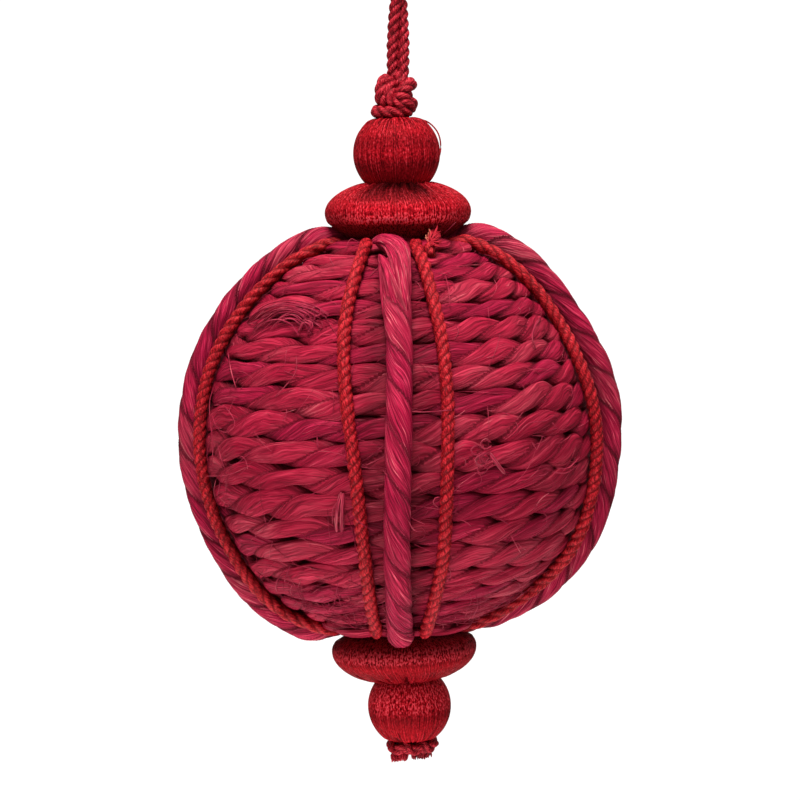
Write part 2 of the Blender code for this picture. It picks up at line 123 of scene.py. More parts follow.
def skin(name, grids, finish, nodes=()):
    """One piece from grids of points. Rows of a grid follow the piece's length and columns go round it.

    A grid is (points, fields, closed): a closed one joins its last row to its first, and any other is closed
    by a fan at each end. Fields are vectors at the points, kept as attributes. A grid whose faces enclose a
    negative volume is turned over, so that all face outwards.
    """
    spots, corners, sizes, kept, offset = [], [], [], {}, 0
    for points, fields, closed in grids:
        rows, columns = points.shape[:2]
        index = np.arange(rows * columns).reshape(rows, columns)
        low, high = (index, np.roll(index, -1, 0)) if closed else (index[:-1], index[1:])
        faces = np.stack([low, np.roll(low, -1, 1), np.roll(high, -1, 1), high], axis=-1).reshape(-1, 4)
        place = points.reshape(-1, 3)
        about = place - place.mean(axis=0)
        volume = sum((np.cross(about[faces[:, 0]], about[faces[:, k]]) * about[faces[:, k + 1]]).sum()
                     for k in (1, 2))
        fans = np.zeros((0, 3), int)
        fills = {field: value.reshape(-1, 3) for field, value in fields.items()}
        if not closed:
            ends = np.stack([points[0].mean(axis=0), points[-1].mean(axis=0)])
            first = np.stack([np.roll(index[0], -1), index[0], np.full(columns, len(place))], axis=1)
            last = np.stack([index[-1], np.roll(index[-1], -1), np.full(columns, len(place) + 1)], axis=1)
            fans = np.vstack([first, last])
            place = np.vstack([place, ends])
            fills = {field: np.vstack([value, fields[field][0].mean(axis=0), fields[field][-1].mean(axis=0)])
                     for field, value in fills.items()}
        if volume < 0:
            faces, fans = faces[:, ::-1], fans[:, ::-1]
        spots.append(place)
        corners += [(faces + offset).ravel(), (fans + offset).ravel()]
        sizes += [np.full(len(faces), 4), np.full(len(fans), 3)]
        for field, value in fills.items():
            kept.setdefault(field, []).append(value)
        offset += len(place)
    mesh = bpy.data.meshes.new(name)
    corners, sizes = np.concatenate(corners), np.concatenate(sizes)
    mesh.vertices.add(offset)
    mesh.vertices.foreach_set("co", np.vstack(spots).ravel())
    mesh.loops.add(len(corners))
    mesh.loops.foreach_set("vertex_index", corners)
    mesh.polygons.add(len(sizes))
    mesh.polygons.foreach_set("loop_start", np.cumsum(sizes) - sizes)
    for field, values in kept.items():
        attribute = mesh.attributes.new(field, "FLOAT_VECTOR", "POINT")
        attribute.data.foreach_set("vector", np.vstack(values).ravel())
    mesh.update(calc_edges=True)
    mesh.validate()
    mesh.shade_smooth()
    mesh.materials.append(finish)
    piece = bpy.data.objects.new(name, mesh)
    bpy.context.collection.objects.link(piece)
    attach(piece, "root")
    if nodes:
        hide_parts(*nodes)
    return piece


class Wire:
    """A shader socket that Python's operators turn into Math nodes."""

    def __init__(self, finish, socket):
        self.finish, self.socket = finish, socket

    def math(self, operation, *others):
        """A Math node on this value and others."""
        sockets = dict(enumerate((self, *others)))
        return self.finish.node("ShaderNodeMath", {"operation": operation}, sockets)[0]

    def __add__(self, other):
        return self.math("ADD", other)

    def __mul__(self, other):
        return self.math("MULTIPLY", other)

    def __sub__(self, other):
        return self.math("SUBTRACT", other)

    def __rsub__(self, other):
        return (self * -1) + other

    def __truediv__(self, other):
        return self.math("DIVIDE", other)

    def __pow__(self, other):
        return self.math("POWER", other)

    __radd__, __rmul__ = __add__, __mul__


class Finish:
    """A material or a world, with the one method that adds a node and short names for the usual ones."""

    def __init__(self, name, kind="materials"):
        self.owner = getattr(bpy.data, kind).new(name)
        self.owner.use_nodes = True
        self.tree = self.owner.node_tree
        self.tree.nodes.clear()

    def node(self, kind, settings=None, sockets=None):
        """A node with its settings and ramp stops, then its sockets' values or links; gives its outputs."""
        node = self.tree.nodes.new(kind)
        for key, value in (settings or {}).items():
            if key == "stops":
                ramp = node.color_ramp.elements
                while len(ramp) < len(value):
                    ramp.new(1.0)
                for stop, (position, colour) in zip(ramp, value):
                    stop.position, stop.color = position, (*colour, 1)
            else:
                setattr(node, key, value)
        for key, value in (sockets or {}).items():
            if isinstance(value, Wire):
                self.tree.links.new(value.socket, node.inputs[key])
            else:
                node.inputs[key].default_value = value
        return [Wire(self, output) for output in node.outputs]

    def field(self, name):
        """The vector and its three parts that a piece keeps under a name."""
        vector = self.node("ShaderNodeAttribute", {"attribute_name": name})[1]
        return vector, *self.node("ShaderNodeSeparateXYZ", None, {0: vector})

    def stretched(self, vector, x, y, z):
        """A vector with its parts scaled apart."""
        return self.node("ShaderNodeVectorMath", {"operation": "MULTIPLY"}, {0: vector, 1: (x, y, z)})[0]

    def noise(self, vector, x, y, z, detail=1.0, roughness=0.55):
        """Noise from 0 to 1 at a vector with its parts scaled apart."""
        vector = self.stretched(vector, x, y, z)
        return self.node("ShaderNodeTexNoise", None, {
            "Vector": vector, "Scale": 1.0, "Detail": detail, "Roughness": roughness})[0]

    def cells(self, vector, x, y, z):
        """Random value of the cell at a vector with its parts scaled apart, and the way to its edge."""
        sockets = {"Vector": self.stretched(vector, x, y, z), "Scale": 1.0}
        colour = self.node("ShaderNodeTexVoronoi", {"feature": "F1"}, sockets)[1]
        edge = self.node("ShaderNodeTexVoronoi", {"feature": "DISTANCE_TO_EDGE"}, sockets)[0]
        return self.node("ShaderNodeSeparateXYZ", None, {0: colour})[0], edge

    def ramp(self, value, *stops):
        """A colour from a value by stops."""
        return self.node("ShaderNodeValToRGB", {"stops": stops}, {0: value})[0]

    def blend(self, share, first, second, how="MIX"):
        """Two colours mixed, or the first one multiplied by the second, as far as a share says."""
        settings = {"data_type": "RGBA", "blend_type": how, "clamp_result": True}
        return self.node("ShaderNodeMix", settings, {0: share, 6: first, 7: second})[2]

    def surface(self, colour, roughness, bump, depth, specular):
        """The shader: colour, roughness and bump from wires, the rest constant."""
        normal = self.node("ShaderNodeBump", None, {"Strength": 1.0, "Distance": depth, "Height": bump})[0]
        shader = self.node("ShaderNodeBsdfPrincipled", None, {
            "Base Color": colour, "Roughness": roughness, "Normal": normal,
            "Specular IOR Level": specular})[0]
        self.node("ShaderNodeOutputMaterial", None, {0: shader})
        return self.owner


def raffia(name, deep, body, light, straw, specular, fineness, contrast, cool):
    """Dyed leaf strips: long cells along the strand, each with its tone, and painted shade in the gaps
    between.

    Some lobes took the dye less and are dusty, others lean to magenta; patches of dust lie over several.
    """
    finish = Finish(name)
    strand = finish.field("strand")[0]
    tone, pit = finish.field("shade")[1:3]
    bend = finish.noise(strand, 0.25, 0.12, 1, 1.0) - 0.5
    wander = finish.noise(strand, 0.9, 0.40, 1, 0.0) - 0.5
    aside = finish.node("ShaderNodeCombineXYZ", None, {0: bend * 1.4 + wander * 0.5})[0]
    strand = finish.node("ShaderNodeVectorMath", {"operation": "ADD"}, {0: aside, 1: strand})[0]
    broad_tone, broad_edge = finish.cells(strand, 0.9 * fineness, 0.050, 1)
    fine_tone, fine_edge = finish.cells(strand, 2.0 * fineness, 0.085, 1.7)
    hair = finish.noise(strand, 3.4 * fineness, 0.22, 1, 1.0, 0.6)
    streak = broad_tone * 0.14 + fine_tone * 0.36 + (hair - 0.5) * contrast + 0.23 + tone * 0.08
    colour = finish.ramp(streak, (0.12, deep), (0.45, body), (0.78, light), (1.0, straw))
    patch = finish.noise(strand, 0.16, 0.07, 1, 1.0)
    dust = ((patch - 0.5) * 2.2 + tone * 0.45 - 0.10).math("MINIMUM", 1.0)
    dusty = finish.ramp(streak, (0.12, (0.16, 0.012, 0.026)), (0.50, (0.31, 0.030, 0.050)),
                        (0.80, (0.42, 0.070, 0.086)), (1.0, (0.50, 0.130, 0.130)))
    colour = finish.blend(dust * 0.7, colour, dusty)
    colour = finish.blend(tone * -0.9 - 0.1, colour, cool, "MULTIPLY")
    # Painted shade in the gaps between strips, which also sink in the bump.
    gaps = ((1 - (broad_edge / 0.055)).math("MAXIMUM", (1 - (fine_edge / 0.14)) * 0.75)).math("MAXIMUM", 0.0)
    colour = finish.blend(gaps * 0.6, colour, (0.36, 0.20, 0.30, 1), "MULTIPLY")
    # Painted shade where the pit field says: in creases, at row edges, beside the ropes and near the ball.
    shaded_colour = finish.blend(pit * 0.85, colour, (0.20, 0.09, 0.15, 1), "MULTIPLY")
    rough = 0.42 + (1 - fine_tone) * 0.25
    height = fine_tone * 0.6 + hair * 0.7 + broad_tone * 0.25 - gaps * 0.5
    return finish.surface(shaded_colour, rough, height, 0.00016, specular)


ROW_RAFFIA = raffia("raffia of the rows", (0.130, 0.0022, 0.012), (0.288, 0.0054, 0.0255),
                    (0.460, 0.021, 0.053), (0.560, 0.110, 0.125), 0.06, 1.0, 0.85, (0.97, 0.80, 1.22, 1))


def plies(angle, turn, count, width, spread):
    """Section of a twisted rope: its surface's reach, how deep that lies, and the ply's number and bearing.

    At each angle round the section the surface is the outer edge of the circle of the nearest ply. The
    circles lie at a spread from the centre and turn with the rope's run.
    """
    spacing = 2 * math.pi / count
    number = np.round((angle - turn) / spacing)
    facing = turn + number * spacing
    offset = spread * width
    circle = width / 2 - offset
    inside = angle - facing
    reach = offset * np.cos(inside) + np.sqrt(circle**2 - (offset * np.sin(inside)) ** 2)
    crease = offset * math.cos(spacing / 2) + math.sqrt(circle**2 - (offset * math.sin(spacing / 2)) ** 2)
    pit = 1 - (reach - crease) / (width / 2 - crease)
    return reach, np.clip(pit, 0, 1), number, facing


def fibre_run(angle, facing, rate, width, slant, arch, gather):
    """Distances across and along the fibres of a ply, in millimetres.

    A fibre climbs by the slant where its ply faces outwards, less by the arch further on, and the fibres
    gather towards both ends of the lobe.
    """
    along = MM * facing / rate
    half_lobe = MM * math.pi / 2 / np.abs(rate)
    across = MM * 0.46 * width * angle + slant * along - arch * along**2
    return across * (1 + gather * (along / half_lobe) ** 2), along


def by_number(number, seed, low, high):
    """A random value for each ply's number."""
    table = np.random.default_rng(seed).uniform(low, high, 997)
    return table[number.astype(int) % 997]


def relief(across, along, offset, strip, fibre, seed):
    """Height of the strips, rounded with sharp valleys between, and of the fibres on them."""
    strips = np.abs(grain(across / strip + offset, along / 15 + offset * 1.7, seed)) ** 0.8
    fibres = grain(across / fibre + offset * 2.3, along / 8 + offset, seed + 1)
    return strips, fibres


def winding_radius(latitude):
    """Radius over the crests of the rows, fuller at the upper shoulder."""
    rise = smooth_step((latitude - SHOULDER[0]) / (SHOULDER[1] - SHOULDER[0]))
    return WINDING_RADIUS + SHOULDER_RISE * rise


def sag(bearing, latitude):
    """How far the soft ball bulges: bells over the latitude, fading round it as the square of a cosine."""
    return sum(rise * np.exp(-((latitude - math.radians(level)) / SAG_SPREAD) ** 2)
               * np.maximum(np.cos(bearing - math.radians(way)), 0) ** 2 for way, level, rise in SAGS)


def wound_row(low, high, rise, seed):
    """Grid of one row: a two-strand rope round the ball, flat at the back where it is glued.

    The section's reach goes outwards by the cosine of its angle, pressed flat, and up and down by the sine,
    so that it fills the space between the row's two edges, which sway round the ball. Painted shade darkens
    the creases between the strands, the row's own edges and the places beside the thick ropes.
    """
    middle = (low + high) / 2
    crest = winding_radius(middle) + ROW_SWELL + rise
    length = 2 * math.pi * crest * math.cos(middle)
    count = max(int(length / ROW_STEP), 48)
    bearing = np.linspace(0, 2 * math.pi, count, endpoint=False)[:, None]
    lobes = 2 * max(round(length / ROW_LAY), 1)
    wobble = ROW_WOBBLE * sway(bearing, 9, seed)
    turn = -lobes / 2 * (bearing - ROW_LAY_DRIFT * np.cos(bearing)) - wobble + seed * 2.1
    rate = (-lobes / 2 * (1 + ROW_LAY_DRIFT * np.sin(bearing))) / (length / (2 * math.pi))
    edge_low = low + ROW_SWAY * sway(bearing, 22, 7000 + round(math.degrees(low) * 10))
    edge_high = high + ROW_SWAY * sway(bearing, 22, 7000 + round(math.degrees(high) * 10))
    width = (high - low) * crest
    pitch = (edge_high - edge_low) * crest
    latitude = (edge_low + edge_high) / 2
    crest = crest + sag(bearing, middle)
    angle = np.linspace(-ROW_ARC, ROW_ARC, ROW_FACETS)[None, :]
    reach, pit, number, facing = plies(angle, turn, 2, width, ROW_SPREAD)
    number = number % lobes
    slant = (ROW_SLANT + ROW_SLANT_DRIFT * np.sin(bearing)
             + by_number(number, seed + 3, -ROW_SLANT_SPREAD, ROW_SLANT_SPREAD))
    across, along = fibre_run(angle, facing, rate, width, slant, ROW_ARCH, ROW_GATHER)
    across = -across
    offset = by_number(number, seed, 0, 200)
    tone = by_number(number, seed + 1, -1, 1)
    strips, fibres = relief(across, along, offset, STRIP, FIBRE, seed)
    reach = reach * (1 + 0.07 * tone) + STRIP_RELIEF * (strips - 0.45) * 2 + FIBRE_RELIEF * fibres
    outward = reach * np.sign(np.cos(angle)) * np.abs(np.cos(angle)) ** ROW_FLATNESS * ROW_DEPTH
    south = reach * np.sin(angle) * ROW_BREADTH * pitch / width
    outward = np.hstack([outward, np.broadcast_to(ROW_BACK[:, 0] * width, (count, len(ROW_BACK)))])
    south = np.hstack([south, ROW_BACK[:, 1] * pitch])
    base = crest - width / 2 * ROW_DEPTH
    flat = (base + outward) * np.cos(latitude) + south * np.sin(latitude)
    height = (base + outward) * np.sin(latitude) - south * np.cos(latitude) + BALL_HEIGHT
    # Painted shade: darker in the creases between strands, along the row's edges and beside the thick ropes.
    depth = smooth_step((np.abs(angle) - 0.75) / 0.55)
    past_rope = np.abs((bearing + math.pi / 4) % (math.pi / 2) - math.pi / 4)
    beside = [dark * (1 - smooth_step((past_rope - near) / wide))
              for dark, near, wide in (FRONT_SHADE, SIDE_SHADE)]
    beside = np.where(np.cos(bearing) > 0.7, *beside)
    painted_shade = np.clip(pit**2 * (0.16 + depth) + 0.18 * smooth_step((np.abs(angle) - 1.0) / 0.4)
                     + 0.35 * fibres * pit + beside, 0, 1)
    fields = {name: np.hstack([field, np.repeat(field[:, -1:], len(ROW_BACK), axis=1)])
              for name, field in marks(across, along, offset, tone, painted_shade).items()}
    return round_axis(flat, bearing, height), fields, True


even = np.linspace(-ROW_REACH[0], ROW_REACH[1], ROW_COUNT + 1)
edges = even + ROW_DRIFT * np.cos(2 * even)
rows = [wound_row(low, high, 0, 10 + k) for k, (low, high) in enumerate(zip(edges, edges[1:]))]
for k in range(POLE_ROWS):
    rows.insert(0, wound_row(edges[0] - (k + 1) * POLE_ROW_PITCH, edges[0] - k * POLE_ROW_PITCH,
                             LOWER_RISE[k], 40 + k))
    rows.append(wound_row(edges[-1] + k * POLE_ROW_PITCH, edges[-1] + (k + 1) * POLE_ROW_PITCH,
                          UPPER_RISE[k], 50 + k))
for number, part in enumerate((rows[:7], rows[7:11], rows[11:15], rows[15:])):
    skin(f"raffia_rows_{number + 1}", part, ROW_RAFFIA, ["raffia_ball"])

# Four thick ropes. Two strands of the same raffia, a little pinker, laid slack-free over the rows from pole
# to pole, with their ends turned in under the discs. Torn strips fan out over the front rope's upper end.
ROPE_WIDTH = 0.0059
ROPE_LAY = 0.019
ROPE_TUCKS = -0.0002, 0.0022
ROPE_TURN_RADIUS = 0.0072
ROPE_STEP = 0.00050
ROPE_FACETS = 60
ROPE_SPREAD = 0.038
ROPE_DETAIL = 0.70, 0.36, 0.00011, 0.00007
# How far a rope goes on past its tuck, and how dark the painted shade in its creases is.
FRONT_LAYING, OTHER_LAYING = (0.0004, 0.5), (0.0055, 0.95)
DISC_RADIUS = 0.0165
TURN_ANGLE = math.radians(44)
TOUCH_GAP = 0.0003
# Where the front rope lies aside, as (latitude in degrees, millimetres), and where its upper end is.
FRONT_ROPE_DRIFT = ((-67, 0.8), (-58, 0.3), (-42, -0.2), (-18, -0.4), (6, 0.0), (24, 0.2), (39, -0.3),
                    (53, -0.95), (62, -1.4), (68, -1.9))
ROPE_BEARINGS = {"front": 0, "right": 90, "back": 180, "left": 270}
ROPE_RAFFIA = raffia("raffia of the ropes", (0.150, 0.0022, 0.016), (0.362, 0.0058, 0.038),
                     (0.600, 0.031, 0.083), (0.760, 0.200, 0.200), 0.07, 1.35, 1.5, (1.0, 0.88, 1.05, 1))
FRONT_ROPE_END = math.radians(57)
# How far the side ropes' lower ends hang down or, below zero, are drawn up, past which latitude that starts,
# and over what it comes on.
ROPE_DROPS = {"left": (0.0027, 1.13, 0.14), "right": (-0.0016, 0.80, 0.30)}
# The fan of torn strips: its core and its two sheets, each with a count of strips and the courses of one
# side, the middle and the other side. Points are (bearing, latitude, millimetres over the rows).
HOOD_CORE = ((-15.7, 67.4, 2.6), (-9.2, 65.3, 3.2), (-3.7, 62.0, 3.4), (-0.4, 58.0, 3.4), (0.7, 53.3, 3.1),
             (0.4, 47.6, 2.6))
HOOD_WIDTH, HOOD_LAY, HOOD_FACETS = 0.0044, 0.06, 44
HOOD_SHEETS = (
    (21, (((-17.5, 66.9, 3.2), (-13.2, 68.4, 3.6), (-5.6, 68.6, 3.6), (1.3, 66.9, 3.4), (4.7, 62.1, 3.2),
           (4.4, 54.8, 3.2), (3.8, 47.7, 2.8), (3.2, 42.5, 1.2)),
          ((-15.2, 63.8, 4.0), (-10.3, 63.0, 5.0), (-4.4, 60.3, 5.7), (-0.4, 56.4, 6.0), (1.4, 51.7, 6.0),
           (1.9, 46.5, 5.8), (2.1, 41.5, 4.9), (2.6, 37.0, 3.2)),
          ((-14.9, 63.8, 3.4), (-11.0, 62.8, 4.0), (-6.9, 59.8, 4.6), (-3.8, 55.0, 5.6), (-2.1, 50.7, 6.0),
           (-0.7, 45.8, 5.9), (0.7, 40.3, 5.2), (2.0, 35.5, 3.4)))),
    (15, (((-9.1, 57.2, 4.2), (-8.0, 53.7, 4.0), (-6.6, 48.4, 3.6), (-5.4, 42.9, 2.8), (-4.3, 38.0, 1.4)),
          ((-8.7, 56.5, 4.6), (-5.5, 50.8, 5.6), (-3.0, 45.1, 5.9), (-1.2, 40.2, 5.0), (0.4, 35.5, 3.4)),
          ((-8.5, 56.7, 4.4), (-3.8, 51.4, 5.7), (-1.0, 45.5, 5.9), (1.0, 40.3, 4.9), (2.6, 35.0, 3.0)))),
)


def unit(vectors):
    """Vectors scaled to length one."""
    return vectors / np.linalg.norm(vectors, axis=-1, keepdims=True)


def run_of(path):
    """Length along a path up to each of its points."""
    return np.concatenate([[0], np.cumsum(np.linalg.norm(np.diff(path, axis=0), axis=1))])


def laid_line(width, tucks, turn_radius, step, further):
    """Centre line, as (radius, height, latitude), of a cord laid on the rows from pole to pole.

    It follows the winding, turns in under the discs, passes a tuck inside their rims and goes on further.
    """
    table = np.radians(np.linspace(30, 88, 600))
    lift = TOUCH_GAP + width / 2
    drawn_in = turn_radius * (np.cos(table) - np.sin(math.pi / 2 - table - TURN_ANGLE))
    turn_in = [np.interp(tuck - DISC_RADIUS, drawn_in - (winding_radius(sign * table) + lift) * np.cos(table),
                         table) for sign, tuck in zip((-1, 1), tucks)]
    arc = np.linspace(-turn_in[0], turn_in[1], 200)
    reach = winding_radius(arc) + lift
    radius, height = reach * np.cos(arc), reach * np.sin(arc)
    turn = np.linspace(0, TURN_ANGLE, 30)[1:]
    ends = []
    for start, sign, latitude in ((0, -1, turn_in[0]), (-1, 1, turn_in[1])):
        heading = math.pi / 2 - latitude
        inwards = turn_radius * (np.sin(heading) - np.sin(heading - turn))
        upwards = turn_radius * (np.cos(heading - turn) - np.cos(heading))
        ends.append(np.stack([radius[start] - inwards, height[start] + sign * upwards,
                              np.full(len(turn), sign * latitude)], axis=1))
    line = np.concatenate([ends[0][::-1], np.stack([radius, height, arc], axis=1), ends[1]])
    first, last = unit(line[0, :2] - line[1, :2]) * further, unit(line[-1, :2] - line[-2, :2]) * further
    line = np.concatenate([[line[0] + (*first, 0)], line, [line[-1] + (*last, 0)]])
    run = run_of(line[:, :2])
    stops = np.linspace(0, run[-1], round(run[-1] / step))
    return np.stack([np.interp(stops, run, line[:, column]) for column in range(3)], axis=1)


def square_to(path, outward):
    """Directions sideways and outwards at each point of a path, both square to it."""
    along = unit(np.gradient(path, axis=0))
    side = unit(np.cross(along, outward))
    return side, np.cross(side, along)


def rope_grid(path, outward, width, count, lay, sense, spread, fibre, detail, facets, seed, ends=0.6,
              wobble=0.0):
    """Grid of a twisted rope along a path, with rounded ends.

    The section is carried along the path with its first column outwards. The lay is the length of one turn,
    or one for each point. Fibre is (slant, arch, gather); detail is (strip, fibre, strip relief, fibre
    relief, how dark the painted shade in the creases is), the first two in millimetres. The side near the
    ball is darkened with painted shade.
    """
    side, out = square_to(path, outward)
    run = run_of(path)
    rate = sense * 2 * math.pi / (np.asarray(lay) + 0 * run)
    turn = np.concatenate([[0], np.cumsum((rate[1:] + rate[:-1]) / 2 * np.diff(run))])
    turn = (turn + seed * 1.3 + wobble * sway(run / run[-1] * 5, 6, seed))[:, None]
    run, rate = run[:, None], rate[:, None]
    angle = np.linspace(-math.pi, math.pi, facets, endpoint=False)[None, :]
    reach, pit, number, facing = plies(angle, turn, count, width, spread)
    number = number + 500
    slant, arch, gather = fibre
    strip, fine, strip_rise, fine_rise, crease_shade = detail
    across, length = fibre_run(angle, facing, rate, width, -sense * slant, arch, gather)
    offset = by_number(number, seed, 0, 200)
    tone = by_number(number, seed + 1, -1, 1)
    strips, fibres = relief(across, length, offset, strip, fine, seed)
    reach = reach * (1 + 0.04 * tone) + strip_rise * (strips - 0.45) * 2 + fine_rise * fibres
    closing = np.clip(np.minimum(run, run[-1] - run) / (ends * width), 0, 1)
    reach = reach * np.sqrt(1 - (1 - closing) ** 2 * 0.985)
    points = path[:, None] + reach[..., None] * (np.cos(angle)[..., None] * out[:, None]
                                                 + np.sin(angle)[..., None] * side[:, None])
    # Painted shade on the side of the rope near the ball.
    from_centre = points - CENTRE
    far = np.linalg.norm(from_centre, axis=-1)
    rise = far - winding_radius(np.arcsin(from_centre[..., 2] / far)) - ROW_SWELL
    painted_shade = 0.80 * (1 - smooth_step((rise / width + 0.05) / 0.95))
    return points, marks(across, length, offset, tone, np.maximum(pit**2 * crease_shade, painted_shade)), False


def on_ball(places):
    """Points at (bearing, latitude, millimetres over the winding), the angles in degrees."""
    bearing, latitude, rise = np.array(places, float).T
    bearing, latitude = np.radians(bearing), np.radians(latitude)
    reach = winding_radius(latitude) + ROW_SWELL + rise / MM
    return round_axis(reach * np.cos(latitude), bearing, reach * np.sin(latitude) + BALL_HEIGHT)


def smooth_curve(points, step):
    """Evenly spaced points on the Catmull-Rom curve through the given ones."""
    knots = np.asarray(points, float)
    knots = np.vstack([2 * knots[0] - knots[1], knots, 2 * knots[-1] - knots[-2]])
    share = np.linspace(0, 1, 24, endpoint=False)[:, None]
    pieces = [0.5 * (2 * b + (c - a) * share + (2 * a - 5 * b + 4 * c - d) * share**2
                     + (3 * b - 3 * c + d - a) * share**3)
              for a, b, c, d in zip(knots, knots[1:], knots[2:], knots[3:])]
    fine = np.vstack([*pieces, knots[-2]])
    length = run_of(fine)
    stops = np.linspace(0, length[-1], max(round(length[-1] / step), 2))
    return np.stack([np.interp(stops, length, column) for column in fine.T], axis=1)


def tape(path, outward, wide, thick, facets, tone, pit, seed):
    """Grid of one fibre, thread or torn strip: a flat tube along a path that narrows at both ends."""
    side, out = square_to(path, outward)
    run = run_of(path)[:, None]
    share = run / run[-1]
    narrow = np.clip(0.35 + np.minimum(share, 1 - share) / 0.12, 0, 1)
    angle = np.linspace(0, 2 * math.pi, facets, endpoint=False)[None, :]
    across, rise = wide / 2 * np.cos(angle) * narrow, thick / 2 * np.sin(angle) * narrow
    points = path[:, None] + across[..., None] * side[:, None] + rise[..., None] * out[:, None]
    return points, marks(MM * across * 1.5 + seed * 3.7, MM * run, seed * 1.9, tone * share, pit), False


def bearing_vectors(degrees):
    """Unit vectors outwards and to the right at a bearing round the ball, 0 at the front."""
    bearing = math.radians(degrees)
    return (np.array([math.sin(bearing), -math.cos(bearing), 0]),
            np.array([math.cos(bearing), math.sin(bearing), 0]))


CENTRE = np.array([0, 0, BALL_HEIGHT])
UP = np.array([0, 0, 1])


def by_latitude(latitude, *stops):
    """Values at stops of (degrees, millimetres), joined smoothly, in metres."""
    degrees, values = np.array(stops).T
    level = np.interp(np.degrees(latitude), degrees, values)
    padded = np.pad(level, 12, mode="edge")
    return np.convolve(padded, np.ones(25) / 25, mode="valid") / MM


def sheet_strips(count, sides, seed):
    """Grids of torn strips side by side over a sheet, on the parabola through its sides and its middle."""
    rng = np.random.default_rng(seed)
    outer, middle, inner = np.array(sides)
    strips = []
    for k, share in enumerate((np.arange(count) + 0.5) / count + rng.uniform(-0.3, 0.3, count) / count):
        line = (2 * (share - 0.5) * (share - 1) * outer - 4 * share * (share - 1) * middle
                + 2 * share * (share - 0.5) * inner)
        line = line + np.linspace(0, 1, len(line))[:, None] * rng.normal(0, (0.5, 0.6, 0.10))
        path = smooth_curve(on_ball(line), ROPE_STEP)
        wide, thick, tone = rng.uniform((0.0005, 0.0004, -0.8), (0.0010, 0.0008, 3.0))
        strips.append(tape(path, unit(path - CENTRE), wide, thick, 8, tone, 0.0, seed + k))
    return strips


for k, (place, degrees) in enumerate(ROPE_BEARINGS.items()):
    front = place == "front"
    further, crease_shade = FRONT_LAYING if front else OTHER_LAYING
    rope_line = laid_line(ROPE_WIDTH, ROPE_TUCKS, ROPE_TURN_RADIUS, ROPE_STEP, further)
    if front:
        rope_line = rope_line[rope_line[:, 2] < FRONT_ROPE_END]
    radius, height, latitude = rope_line.T
    out, right = bearing_vectors(degrees)
    swelling = sag(math.radians(degrees), latitude)
    drop, start, over = ROPE_DROPS.get(place, (0, 0, 1))
    height = height + swelling * np.sin(latitude) - drop * smooth_step((-latitude - start) / over)
    path = (radius + swelling * np.cos(latitude))[:, None] * out + height[:, None] * UP
    if front:
        path = path + by_latitude(latitude, *FRONT_ROPE_DRIFT)[:, None] * right
    detail = *ROPE_DETAIL, crease_shade
    grids = [rope_grid(path + CENTRE, unit(path), ROPE_WIDTH, 2, ROPE_LAY, -1, ROPE_SPREAD, (0.50, 0.0, 0.2),
                       detail, ROPE_FACETS, 60 + k, 0.45, 0.25)]
    if front:
        core = smooth_curve(on_ball(HOOD_CORE), ROPE_STEP)
        grids.append(rope_grid(core, unit(core - CENTRE), HOOD_WIDTH, 2, HOOD_LAY, -1, 0.05, (0.2, 0.0, 0.2),
                               detail, HOOD_FACETS, 66, 1.4))
        for count, sides in HOOD_SHEETS:
            grids += sheet_strips(count, sides, 640 + count)
    skin("rope_" + place, grids, ROPE_RAFFIA, ["raffia_rope_" + place])

# Eight thin cords. Shiny three-ply cord, twisted the other way and brighter red than the raffia, glued down
# on both sides of each thick rope. It bows away from the rope towards the ball's middle.
EDGE_WIDTH = 0.00300
EDGE_LAY = 0.0060
EDGE_TUCKS = 0.0018, 0.0020
EDGE_TURN_RADIUS = 0.004
EDGE_POLE_OFFSET, EDGE_EQUATOR_OFFSET = 0.0050, 0.0102
EDGE_FURTHER = 0.0025
EDGE_STEP = 0.00036
EDGE_FACETS = 22
EDGE_SPREAD = 0.180
# The yarn's (slant, arch, gather), then (strip, fibre, their reliefs, how dark the painted crease shade is).
YARN_SLANT = -0.25, 0.0, 0.0
YARN_DETAIL = 0.6, 0.3, 0.00003, 0.00002, 1.0
# Each cord's rope and side, and its distance from the rope: (latitude, millimetres) where it is seen from the
# front, otherwise how far its widest place leans to the top.
EDGE_CORDS = {
    "front_left": ("front", -1, (
        (-67, 4.9), (-45, 6.4), (-28, 7.5), (-15, 8.5), (-4, 9.3), (8, 10.6), (17, 11.4), (28, 11.9),
        (40, 11.4), (54, 9.3), (68, 7.1))),
    "front_right": ("front", 1, (
        (-67, 5.8), (-55, 6.8), (-44, 8.0), (-31, 9.5), (-21, 9.9), (-9, 10.2), (5, 10.4), (14, 10.4),
        (24, 9.8), (34, 9.0), (44, 7.3), (56, 5.7), (68, 3.6))),
    "right_front": ("right", -1, (
        (-67, 4.7), (-55, 4.7), (-48, 5.0), (-42, 6.2), (-36, 8.2), (-30, 10.6), (-22, 12.0), (-12, 12.8),
        (-4, 13.4), (4, 14.6), (12, 15.8), (22, 15.8), (30, 13.4), (38, 11.8), (48, 10.8), (56, 9.9),
        (62, 8.8), (68, 7.0))),
    "right_back": ("right", 1, -0.10),
    "back_right": ("back", -1, 0.20), "back_left": ("back", 1, -0.05),
    "left_back": ("left", -1, 0.10), "left_front": ("left", 1, 0.15),
}


